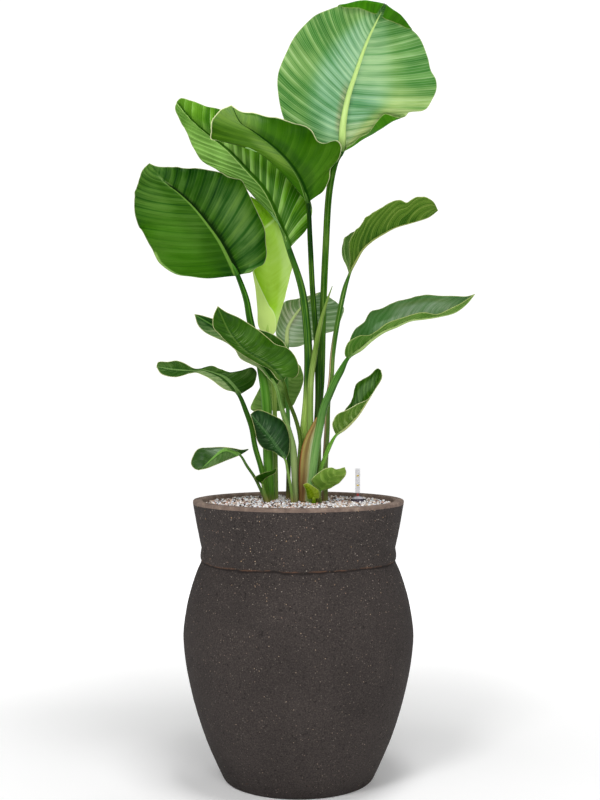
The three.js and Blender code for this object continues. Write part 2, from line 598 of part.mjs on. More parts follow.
function granuleGeometry(stalks) {
  const [[floorRadius, floor]] = PLANTER_INSIDE;
  const wall = PLANTER_INSIDE.slice(1).map(([r, z]) => [r - GAP, z]);
  const reach = PLANTER_INSIDE.at(-1)[0] - GAP;
  const top = [];
  for (let ring = SOIL_RINGS; ring >= 0; ring -= 1) {
    top.push([(reach * ring) / SOIL_RINGS, SOIL_HEIGHT - (ring === SOIL_RINGS ? SOIL_MARGIN : 0)]);
  }
  const body = turned([[0, floor + GAP], [floorRadius - GAP, floor + GAP], ...wall, ...top],
    PLANTER_SIDES);
  const relief = body.attributes.position;
  for (let i = 0; i < relief.count; i += 1) {
    const [x, y, z] = [relief.getX(i), relief.getY(i), relief.getZ(i)];
    if (z > SOIL_HEIGHT - 1 && Math.hypot(x, y) > 1) {
      const seed = Math.round(x) * 0.37 + Math.round(y) * 1.91;
      relief.setZ(i, z + SOIL_RELIEF * (2 * noise(seed) - 1));
    }
  }
  let fill = manifoldOf(body);
  const pocket = ROOT_PROFILE.map(([r, z]) => [r + GAP, z === ROOT_TOP ? z + GAP : z]);
  fill = fill.subtract(manifoldOf(turned(
    [[0, ROOT_PROFILE[0][1] - GAP], ...pocket, [0, ROOT_TOP + GAP]], ROOT_SIDES, ROOT_CENTRE)));
  const holes = stalks.map(([x, y, , radius]) => [x, y, radius + HOLE_CLEARANCE, ROOT_TOP - 1]);
  holes.push([...GAUGE_CENTRE, PIPE_RADIUS + HOLE_CLEARANCE, PIPE_FOOT - GAP]);
  for (const [x, y, radius, bottom] of holes) {
    const height = PLANTER_HEIGHT - bottom;
    const corner = radius / Math.cos(Math.PI / HOLE_SIDES);
    const drill = new THREE.CylinderGeometry(corner, corner, height, HOLE_SIDES);
    drill.rotateX(Math.PI / 2);
    drill.translate(x, y, bottom + height / 2);
    fill = fill.subtract(manifoldOf(drill));
  }
  return geometryOf(fill);
}

function rootGeometry() {
  return turned([[0, ROOT_PROFILE[0][1]], ...ROOT_PROFILE, [0, ROOT_TOP]], ROOT_SIDES, ROOT_CENTRE);
}

// ---------------------------------------------------------------- water gauge

function pipeGeometry() {
  const collar = SOIL_HEIGHT + SOIL_RELIEF + GAP;
  return turned([[PIPE_LIP, PIPE_FOOT], [PIPE_RADIUS, PIPE_FOOT], [PIPE_RADIUS, collar],
    [COLLAR_RADIUS, collar], [COLLAR_RADIUS, COLLAR_TOP - 1], [COLLAR_RADIUS - 1, COLLAR_TOP],
    [PIPE_BORE, COLLAR_TOP], [PIPE_BORE, PIPE_FOOT + 2], [PIPE_LIP, PIPE_FOOT + 2],
    [PIPE_LIP, PIPE_FOOT]], GAUGE_SIDES, GAUGE_CENTRE);
}

function sightTubeGeometry() {
  const foot = COLLAR_TOP + GAP;
  return turned([[0, SIGHT_TOP - SIGHT_CAP], [SIGHT_BORE, SIGHT_TOP - SIGHT_CAP], [SIGHT_BORE, CONE_TOP - 1],
    [PIPE_BORE, foot], [COLLAR_RADIUS - 1, foot], [COLLAR_RADIUS - 2, foot + 2],
    [SIGHT_RADIUS + 1, CONE_TOP - 1.5], [SIGHT_RADIUS, CONE_TOP], [SIGHT_RADIUS, SIGHT_TOP - 1],
    [SIGHT_RADIUS - 1, SIGHT_TOP], [0, SIGHT_TOP]], GAUGE_SIDES, GAUGE_CENTRE);
}

function floatGeometry() {
  const foot = PIPE_FOOT + 2 + GAP;
  const top = foot + FLOAT_HEIGHT;
  return turned([[0, foot], [FLOAT_RADIUS, foot], [FLOAT_RADIUS, top - 2],
    [FLOAT_RADIUS - 2, top], [ROD_RADIUS, top], [ROD_RADIUS, TIP_BOTTOM - GAP],
    [0, TIP_BOTTOM - GAP]], GAUGE_SIDES, GAUGE_CENTRE);
}

function tipGeometry() {
  const top = TIP_BOTTOM + TIP_HEIGHT;
  return turned([[0, TIP_BOTTOM], [TIP_RADIUS, TIP_BOTTOM], [TIP_RADIUS, top - 1.5],
    [TIP_RADIUS - 1.2, top], [0, top]], TIP_SIDES, GAUGE_CENTRE);
}

// ---------------------------------------------------------------- assembly

function addPiece(group, name, geometry, colour, roughness, opacity = 1) {
  const material = new THREE.MeshStandardMaterial({ color: colour, roughness, metalness: 0, opacity });
  material.transparent = opacity < 1;
  const mesh = new THREE.Mesh(geometry, material);
  mesh.name = name;
  group.add(mesh);
}

const plant = new THREE.Group();
addPiece(plant, 'planter', planterGeometry(), 0x4a443f, 0.95);
addPiece(plant, 'granule_fill', granuleGeometry(Object.values(LEAVES).map((leaf) => leaf.stalk[0])),
  0xcfc4bb, 0.9);
addPiece(plant, 'root_ball', rootGeometry(), 0x6b4f35, 0.95);
addPiece(plant, 'gauge_pipe', pipeGeometry(), 0x3a3638, 0.5);
addPiece(plant, 'gauge_sight_tube', sightTubeGeometry(), 0xe8ecee, 0.1, 0.4);
addPiece(plant, 'gauge_float', floatGeometry(), 0xf2f0ea, 0.5);
addPiece(plant, 'gauge_float_tip', tipGeometry(), 0xc8401c, 0.4);
for (const [name, leaf] of Object.entries(LEAVES)) {
  addPiece(plant, name, leafGeometry(leaf), leaf.colour, 0.45);
}

export default plant;
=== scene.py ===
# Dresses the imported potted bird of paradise: finer leaves with pleats and midribs, the planter's rough
# wall, loose granules and the water gauge, each in the place and form of its CAD node.
# Sizes are in millimetres here and become metres when a mesh is made. +Z is up, the viewer is at -Y.

import itertools
import math

import bmesh
import bpy
import numpy as np
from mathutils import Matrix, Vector, noise


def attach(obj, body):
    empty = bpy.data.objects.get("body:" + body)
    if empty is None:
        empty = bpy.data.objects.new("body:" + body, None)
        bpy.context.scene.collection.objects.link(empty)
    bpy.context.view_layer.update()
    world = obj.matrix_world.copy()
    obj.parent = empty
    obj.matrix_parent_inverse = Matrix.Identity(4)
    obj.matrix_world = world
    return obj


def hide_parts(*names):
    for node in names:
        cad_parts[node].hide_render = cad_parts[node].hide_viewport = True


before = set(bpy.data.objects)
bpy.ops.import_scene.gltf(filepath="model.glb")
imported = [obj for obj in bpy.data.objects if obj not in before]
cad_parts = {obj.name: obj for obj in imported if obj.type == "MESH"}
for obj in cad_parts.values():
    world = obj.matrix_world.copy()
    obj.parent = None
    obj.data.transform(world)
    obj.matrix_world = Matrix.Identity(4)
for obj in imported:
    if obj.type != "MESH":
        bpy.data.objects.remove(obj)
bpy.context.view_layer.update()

MM = 0.001
BODY = "planter"
FLOAT_BODY = "float"
draw = np.random.default_rng(11)

# ---------------------------------------------------------------- sizes, as in the CAD source

SIDES = ("left", "right")
VEIN_SWEEP = 1.15
RIB_TIP_RADIUS = 0.5
RIB_TAPER = 1.15
ROLL_RADIUS = 4.0
ROLL_TURN = 2.85
ROLL_STEPS = 9
STALK_START = 470.3
STALK_FREE = 534.0
SOIL_HEIGHT = 530.0
SOIL_RELIEF = 1.6
MOUTH_RADIUS = 186
GAUGE_CENTRE = (118, 43)
PIPE_FOOT = 34
PIPE_RADIUS = 13
PIPE_BORE = 11
PIPE_LIP = 5
COLLAR_RADIUS = 15
COLLAR_TOP = 535
SIGHT_RADIUS = 5.4
SIGHT_BORE = 4
SIGHT_TOP = 598
CONE_TOP = 544
FLOAT_RADIUS = 9.4
FLOAT_HEIGHT = 75
ROD_RADIUS = 1.2
TIP_RADIUS = 2.5
TIP_BOTTOM = 540
TIP_HEIGHT = 8
GAUGE_MARKS = [563, 582]
MARK_TURN = 25
MARK_HEIGHT = 2.8

# The planter's profile as (radius, height): its foot, side, bead, neck and lip from the floor up, and
# its inside from the floor up.
PLANTER_FOOT = [(0, 0), (141, 0), (144.5, 0.9), (147.6, 4.2)]
PLANTER_SIDE = [
    (160, 30), (180, 77), (196, 124), (209, 172), (218.5, 218), (224, 265), (224, 288),
    (217.5, 335), (209, 369), (197, 404), (191.5, 416),
]
PLANTER_BEAD = [
    (190.4, 419), (189.3, 421.6), (189.6, 424), (190.8, 427), (191.3, 431), (191.2, 435),
    (190.3, 441), (189.3, 448),
]
PLANTER_NECK = [(189.3, 448), (194.8, 474), (199.4, 497), (203.6, 520.5), (205.8, 533)]
PLANTER_LIP = [
    (206.2, 536), (205.9, 538.2), (204.9, 539.6), (203, 540), (190.5, 540), (188.4, 539.2),
    (187.3, 537.2),
]
PLANTER_INSIDE = [
    (0, 20), (128, 20), (140, 34), (176, 124), (198, 218), (203.5, 276), (197, 335), (177, 404),
    (170, 430), (174, 470), (185.6, 520), (186.6, 530),
]
GROOVE_HEIGHT = 421.5
RIM_START = 531

# ---------------------------------------------------------------- light and camera

WORLD_LIGHT = 0.24
WORLD_GLOSS = 0.05
BACKDROP = 1.1
FLOOR_SIZE = 40.0
FLOOR_GLOW = (0.12, 0.80)
FLOOR_GLOW_REACH = (0.3, 2.2)
# Each lamp as name, place, point it faces, power and size, in metres and watts.
LAMPS = [
    ("key", (-1.2, -2.4, 2.7), (0, 0, 0.85), 40.0, 0.8),
    ("top", (0.3, -0.5, 3.2), (0, 0, 0.8), 38.0, 0.8),
    ("front", (0.7, -3.0, 1.5), (0, 0, 0.9), 26.0, 1.2),
    ("back", (0.9, 2.2, 2.0), (0, 0, 0.9), 10.0, 1.4),
]
CAMERA_DISTANCE = 2330.0
CAMERA_HEIGHT = 735.0
SENSOR_WIDTH = 36.0
PICTURE_HEIGHT = 800.0
FOCAL_PIXELS = 1191.0
SHIFT_PIXELS = (1.6, -0.5)

# ---------------------------------------------------------------- the leaves' points and looks

# Each leaf's stalk as [x, y, z, radius], midrib as [x, y, z] and margins as [x, z], as in the CAD source.
LEAVES = {
    "leaf_crown": {
        "wave": [4, 6], "arch": [-0.05, -0.06], "slope": [0.1, 0.15], "lead": [0.85, 0.62],
        "stalk": [[39, 60, 533, 7], [40, 66, 694, 6.8], [46, 68, 774, 6.8], [49, 70, 891, 6.8],
            [55, 74, 1037, 6.8], [63, 78, 1159, 6.8], [76, 80, 1220, 7]],
        "rib": [[86, 80, 1240], [89, 58, 1285], [98, 30, 1332], [114, -10, 1377], [131, -55, 1418],
            [146, -95, 1443], [160, -130, 1464]],
        "left": [[99, 1247], [126, 1264], [162, 1283], [193, 1299], [222, 1308], [251, 1311], [262, 1325],
            [269, 1344], [267, 1361], [256, 1373], [248, 1395], [235, 1417], [209, 1438], [185, 1453]],
        "right": [[48, 1234], [3, 1259], [-25, 1293], [-39, 1342], [-39, 1378], [-24, 1415], [-5, 1444],
            [32, 1474], [68, 1481], [103, 1481], [134, 1475]],
        "roll": {
            "left": [[0, 4], [0.03, 16], [0.1, 22], [0.19, 33], [0.25, 34], [0.3, 14], [0.34, 1.5],
                [0.82, 1.5], [0.86, 16], [0.91, 25], [1, 31]],
            "right": [[0, 1.5], [0.79, 1.5], [0.82, 12], [0.86, 18], [0.91, 25], [1, 31]],
        },
    },
    "leaf_back_left": {
        "wave": [3, 6], "arch": [0.1, 0.1], "slope": [-0.1, 0.05], "lead": [0.68, 0.57],
        "stalk": [[6, 45, 535, 10.5], [9, 45, 634, 10], [15, 46, 694, 10], [19, 48, 744, 9.5],
            [20, 52, 822, 8.5], [17, 58, 878, 8], [7, 66, 957, 7.2]],
        "rib": [[-19, 72, 1039], [-39, 80, 1098], [-64, 92, 1155], [-99, 105, 1198], [-141, 125, 1245],
            [-177, 142, 1276], [-221, 165, 1318], [-257, 185, 1364]],
        "left": [[-29, 1057], [-53, 1112], [-80, 1135], [-100, 1157], [-123, 1178], [-150, 1194],
            [-175, 1210], [-201, 1229], [-218, 1256], [-230, 1284], [-248, 1319], [-260, 1347]],
        "right": [[-3, 1057], [17, 1080], [28, 1117], [19, 1154], [-3, 1203], [-40, 1250], [-87, 1295],
            [-130, 1323], [-163, 1339], [-198, 1352], [-228, 1365], [-248, 1371]],
    },
    "leaf_arching": {
        "wave": [4, 5], "arch": [0.12, 0.12], "slope": [0, 0.05], "lead": [0.52, 0.65],
        "stalk": [[29, 44, 533, 6], [33, 44, 635, 6], [39, 44, 734, 5.8], [37, 43, 833, 5.6],
            [34, 41, 877, 5.5], [28, 36, 954, 5.5], [23, 30, 1053, 5.2]],
        "rib": [[19, 28, 1122], [7, 26, 1161], [-17, 28, 1201], [-50, 35, 1236], [-87, 45, 1266],
            [-115, 55, 1287], [-135, 64, 1327]],
        "left": [[9, 1134], [-16, 1165], [-45, 1195], [-77, 1222], [-109, 1239], [-141, 1246],
            [-175, 1255], [-175, 1274], [-172, 1297], [-156, 1315]],
        "right": [[30, 1136], [48, 1146], [62, 1174], [64, 1192], [80, 1212], [85, 1238], [76, 1249],
            [53, 1245], [39, 1250], [25, 1271], [3, 1284], [-32, 1293], [-83, 1308], [-115, 1314]],
    },
    "leaf_left_broad": {
        "wave": [4, 6], "arch": [0.1, 0.1], "slope": [0.1, 0.1], "lead": [0.58, 0.7],
        "stalk": [[-57, 60, 533, 10], [-61, 60, 622, 10], [-64, 60, 726, 10], [-73, 58, 788, 8.5],
            [-97, 47, 897, 7], [-104, 42, 935, 6.2]],
        "rib": [[-120, 36, 980], [-130, 35, 1002], [-154, 36, 1048], [-180, 38, 1084], [-208, 40, 1118],
            [-238, 42, 1146], [-270, 45, 1171], [-298, 48, 1207]],
        "left": [[-130, 981], [-153, 978], [-182, 976], [-216, 980], [-245, 985], [-276, 1006],
            [-291, 1031], [-313, 1073], [-320, 1081], [-326, 1106], [-329, 1134], [-322, 1166],
            [-310, 1195]],
        "right": [[-110, 987], [-96, 987], [-82, 998], [-69, 1005], [-63, 1023], [-65, 1051], [-67, 1074],
            [-81, 1109], [-100, 1147], [-113, 1173], [-141, 1179], [-159, 1190], [-190, 1195],
            [-239, 1199], [-283, 1201]],
    },
    "leaf_lime_rolled": {
        "wave": [0, 1], "arch": [-0.2, -0.2], "slope": [-0.3, -0.3], "lead": [1, 1],
        "stalk": [[-46, 80, 534, 5.5], [-47, 84, 633, 5], [-49, 92, 734, 4.6], [-56, 106, 816, 4.4]],
        "rib": [[-64, 112, 861], [-62, 114, 898], [-58, 118, 960], [-58, 121, 1022], [-67, 123, 1074],
            [-81, 124, 1121], [-98, 124, 1154]],
        "left": [[-81, 883], [-84, 921], [-88, 961], [-94, 996], [-99, 1041], [-101, 1083], [-102, 1120]],
        "right": [[-49, 871], [-42, 895], [-29, 937], [-17, 986], [-12, 1014], [-22, 1060], [-39, 1096],
            [-62, 1129]],
    },
    "leaf_behind": {
        "wave": [2, 4], "arch": [0, 0], "slope": [0.1, 0.1], "lead": [0.9, 0.9],
        "stalk": [[-21, 100, 536, 4.5], [-20, 105, 613, 4.5], [-21, 115, 693, 4.2], [-25, 130, 775, 4]],
        "rib": [[-24, 150, 844], [-22, 143, 883], [-9, 134, 906], [7, 124, 926], [26, 114, 941],
            [44, 106, 955]],
        "left": [[-1, 845], [29, 858], [57, 872], [74, 878], [90, 904], [94, 925], [81, 934], [60, 947]],
        "right": [[-38, 851], [-47, 875], [-42, 908], [-30, 936], [-1, 943], [21, 948]],
    },
    "leaf_front_left": {
        "wave": [2, 5], "arch": [0.1, 0.1], "slope": [-0.1, 0.1], "lead": [1, 1],
        "stalk": [[9, 24, 534, 4.5], [3, 22, 661, 4.2], [-6, 21, 698, 4], [-21, 20, 736, 3.9]],
        "rib": [[-30, 18, 771], [-49, 14, 795], [-70, 10, 811], [-99, 5, 828], [-118, 0, 846],
            [-134, -6, 868], [-157, -14, 917]],
        "left": [[-41, 774], [-57, 794], [-78, 804], [-120, 830], [-138, 845], [-155, 863], [-166, 876],
            [-166, 896]],
        "right": [[-21, 781], [-7, 778], [1, 789], [-1, 807], [-8, 823], [-21, 836], [-45, 844],
            [-57, 854], [-78, 871], [-99, 885], [-118, 896], [-141, 906]],
    },
    "leaf_under_left": {
        "wave": [2, 5], "arch": [0.05, 0.1], "slope": [-0.1, 0.1], "lead": [1, 1],
        "stalk": [[-5, 22, 535, 7], [-8, 22, 604, 7], [-11, 23, 641, 6.8], [-21, 26, 679, 6],
            [-33, 32, 717, 4.8]],
        "rib": [[-44, 36, 760], [-72, 35, 802], [-102, 36, 835], [-136, 38, 863], [-172, 38, 885],
            [-207, 36, 905]],
        "left": [[-64, 782], [-77, 796], [-95, 805], [-116, 817], [-126, 833], [-142, 847], [-164, 857],
            [-188, 870], [-200, 883]],
        "right": [[-29, 790], [-19, 820], [-28, 847], [-45, 861], [-63, 870], [-84, 876], [-116, 881],
            [-146, 889], [-170, 896], [-194, 903]],
    },
    "leaf_twisted_left": {
        "wave": [2, 4], "arch": [0.05, 0.05], "slope": [-0.5, 0.5], "lead": [1, 1],
        "stalk": [[-60, 38, 534, 5.5], [-66, 36, 565, 5.5], [-75, 35, 603, 5.4], [-86, 35, 641, 5.3],
            [-93, 37, 679, 5.2], [-104, 39, 711, 5]],
        "rib": [[-118, 40, 744], [-134, 34, 764], [-149, 30, 778], [-168, 27, 787], [-187, 25, 792],
            [-214, 22, 791], [-249, 20, 793], [-280, 16, 799]],
        "left": [[-129, 750], [-144, 754], [-169, 771], [-198, 788], [-213, 785], [-228, 782],
            [-251, 779], [-270, 785]],
        "right": [[-105, 752], [-89, 765], [-84, 790], [-93, 799], [-111, 794], [-131, 790], [-153, 794],
            [-174, 802], [-193, 798], [-206, 797], [-231, 809], [-243, 812], [-258, 810], [-277, 809]],
    },
    "leaf_small_dark": {
        "wave": [1, 3], "arch": [0.1, 0.1], "slope": [0.2, 0.2], "lead": [1, 1],
        "stalk": [[-12, 5, 536, 3.2], [-15, 4, 563, 3], [-21, 6, 594, 2.8]],
        "rib": [[-26, 8, 617], [-42, 6, 637], [-55, 4, 657], [-77, 0, 685], [-94, -4, 706]],
        "left": [[-40, 626], [-49, 633], [-66, 637], [-80, 653], [-87, 681]],
        "right": [[-19, 629], [-17, 645], [-17, 659], [-28, 691], [-49, 704], [-81, 715]],
    },
    "leaf_lowest_left": {
        "wave": [0, 1], "arch": [0.1, 0.1], "slope": [-0.2, 0.2], "lead": [1, 1],
        "stalk": [[-66, 27, 534, 3.4], [-77, 26, 562, 3.2], [-87, 25, 582, 3], [-102, 24, 604, 2.8]],
        "rib": [[-115, 22, 625], [-131, 14, 634], [-146, 2, 636], [-164, -10, 623], [-180, -18, 608],
            [-193, -23, 598]],
        "left": [[-123, 622], [-142, 615], [-157, 609], [-178, 601]],
        "right": [[-98, 637], [-111, 636], [-130, 640], [-150, 642], [-173, 641], [-196, 638],
            [-205, 626], [-209, 610], [-201, 600]],
    },
    "leaf_tiny_left": {
        "wave": [0, 1], "arch": [0.1, 0.1], "slope": [0.2, -0.2], "lead": [1, 1],
        "stalk": [[-62, 20, 533, 3.8], [-67, 17, 549, 3.4]],
        "rib": [[-70, 14, 567], [-72, 10, 581], [-60, 6, 589], [-41, 2, 602]],
        "left": [[-86, 581], [-69, 591], [-50, 596]],
        "right": [[-68, 576], [-60, 583], [-44, 592]],
    },
    "leaf_upper_right": {
        "wave": [2, 5], "arch": [-0.1, -0.1], "slope": [0.9, -0.7], "lead": [1, 1],
        "stalk": [[53, 42, 535, 6], [53, 42, 595, 5.8], [57, 42, 674, 5.6], [59, 42, 734, 5.4],
            [65, 42, 775, 5.3], [68, 42, 822, 5.2], [76, 42, 877, 5], [92, 41, 955, 4.8]],
        "rib": [[101, 40, 983], [105, 40, 997], [115, 38, 1016], [127, 36, 1035], [148, 33, 1053],
            [169, 30, 1065], [191, 27, 1076], [228, 22, 1086], [257, 18, 1095], [275, 16, 1108]],
        "left": [[96, 1002], [88, 1022], [88, 1038], [93, 1054], [104, 1069], [124, 1080], [160, 1103],
            [194, 1117], [227, 1122], [256, 1124]],
        "right": [[102, 1011], [100, 1038], [105, 1057], [113, 1070], [122, 1079], [134, 1093],
            [150, 1104], [172, 1115], [196, 1124], [211, 1121], [230, 1129], [246, 1130], [262, 1124]],
    },
    "leaf_long_right": {
        "wave": [2, 5], "arch": [-0.1, -0.1], "slope": [0.9, -0.9], "lead": [1, 1],
        "stalk": [[21, 8, 532, 9], [27, 6, 586, 8.6], [34, 3, 642, 8.2], [41, 1, 679, 8],
            [49, -2, 717, 7.8], [60, -3, 744, 7.6], [73, -5, 773, 7.2], [83, -6, 791, 6.6]],
        "sheath": [[1, 8, 535], [1, 8, 604], [7, 7, 642], [17, 6, 668], [35, 3, 700]],
        "rib": [[97, -8, 816], [121, -12, 836], [141, -16, 853], [166, -20, 869], [187, -24, 877],
            [216, -28, 889], [244, -32, 892], [273, -36, 896], [301, -40, 903], [322, -44, 918],
            [338, -48, 937]],
        "left": [[98, 832], [102, 854], [113, 876], [129, 886], [143, 910], [167, 917], [190, 927],
            [210, 934], [246, 938], [290, 937], [324, 934]],
        "right": [[91, 819], [90, 832], [96, 846], [120, 858], [136, 860], [150, 868], [171, 881],
            [195, 892], [218, 898], [243, 902], [268, 900], [303, 915]],
    },
    "leaf_lower_right": {
        "wave": [1, 4], "arch": [-0.1, -0.1], "slope": [0.9, -0.7], "lead": [1, 1],
        "stalk": [[39, 20, 533, 4.6], [44, 20, 596, 4.6], [50, 19, 614, 4.4], [60, 15, 640, 4.2]],
        "rib": [[74, 8, 665], [96, 4, 684], [115, 0, 704], [132, -4, 729], [144, -7, 748],
            [155, -10, 771], [161, -12, 792]],
        "left": [[77, 685], [90, 712], [103, 728], [108, 742], [115, 764], [126, 775], [140, 783],
            [154, 796]],
        "right": [[69, 675], [66, 687], [75, 705], [93, 715], [115, 726], [138, 738], [153, 759],
            [163, 779]],
    },
    "leaf_young_right": {
        "wave": [1.5, 4], "arch": [0.1, 0.1], "slope": [0.1, 0.1], "lead": [1, 1],
        "stalk": [[43, 6, 534, 3]],
        "rib": [[43, -4, 556], [56, -12, 574], [71, -17, 590], [90, -21, 604]],
        "left": [[28, 570], [25, 578], [41, 594], [50, 600], [65, 603], [73, 600]],
        "right": [[62, 562], [82, 575], [93, 592]],
    },
    "leaf_young_front": {
        "wave": [0, 1], "arch": [0.2, 0.2], "slope": [0.2, 0.2], "lead": [1, 1],
        "stalk": [[30, -11, 530, 4.5]],
        "rib": [[30, -14, 542], [26, -17, 553], [20, -19, 563], [9, -21, 570]],
        "left": [[19, 541], [14, 559]],
        "right": [[40, 543], [40, 557], [28, 567], [17, 573]],
    },
    "leaf_far_back": {
        "wave": [1, 3], "arch": [0.05, 0.05], "slope": [0.1, 0.1], "lead": [1, 1],
        "stalk": [[-62, 92, 535, 4], [-64, 106, 632, 3.8]],
        "rib": [[-62, 134, 713], [-44, 142, 736], [-24, 148, 763], [-7, 152, 786], [5, 154, 804]],
        "left": [[-79, 709], [-99, 715], [-83, 755], [-63, 788], [-36, 811], [-11, 817]],
        "right": [[-40, 711], [-24, 718], [-12, 722], [-2, 740], [5, 755], [11, 780]],
    },
    "leaf_spear": {
        "stalk": [[25, 27, 533, 5.2], [24, 28, 654, 5.8], [25, 30, 774, 6], [34, 28, 835, 5.5],
            [44, 24, 887, 4.2], [55, 20, 925, 2.6], [67, 18, 959, 0.6]],
    },
}

# A leaf's look where its own row says nothing else. Lengths are in mm.
PLAIN_LOOK = {
    "slot": "leaf_green",
    "under": (0x4c7a3a, 0x6f9a58, 0x9dbb80),  # tones of the underside
    "rib_end": 1.02,  # where the midrib ends, as a share of its course
    "sink": 1.05,  # how deep the midrib lies under the blade, in its own radii
    "grid": (150, 26),  # rows and columns of the mesh of half a blade
    "pleat": 0.55,  # height of the pleats
    "bend": (0.08, 0.08),  # how far the pleats sweep back on the left and right half
    "crimp": 0.5,  # height of the small folds of the margin
    "channel": 0.0,  # depth of the channel over the midrib
    "lines": (0.6, 0.6, -0.2, -0.1),  # strength of the stripes left and right, and where the left grow
    "back_lines": 1.0,  # strength of the stripes on the face turned away from the viewer
    "calm": (1.1, 1.2),  # where along the midrib the stripes weaken
    "saw_shading": 0.03,  # painted light: how much each pleat lightens from one side to the other
    "noisy": 0.24,  # how uneven the stripes are
    "valley_shade": 0.35,  # painted shade: how dark the valleys of the pleats are
    "crest_highlight": 0.35,  # painted highlight: how light their crests are
    "fine": 0.22,  # how light the fine veins are
    "gloss": 0.0,  # how glossy the upper face is
    "flank_width": 8.0,  # half the width of the channel over the midrib, at the base
    "flank_end": 1.0,  # where along the midrib the channel ends
    "margin": 0xc4cc84,  # colour of the margin, with its width and strength
    "edge_width": 1.8,
    "edge_strength": 0.5,
    "foot": 0x86a456,  # two colours of the stalk towards the granules, their strength and their heights
    "foot_dark": 0x5f8436,
    "foot_strength": 0.8,
    "foot_reach": (20.0, 260.0),
    "base": 0x8a7448,  # colour of the stalk just above the granules
    "both": False,  # whether the washes lie on both faces
    "washes": [],
}
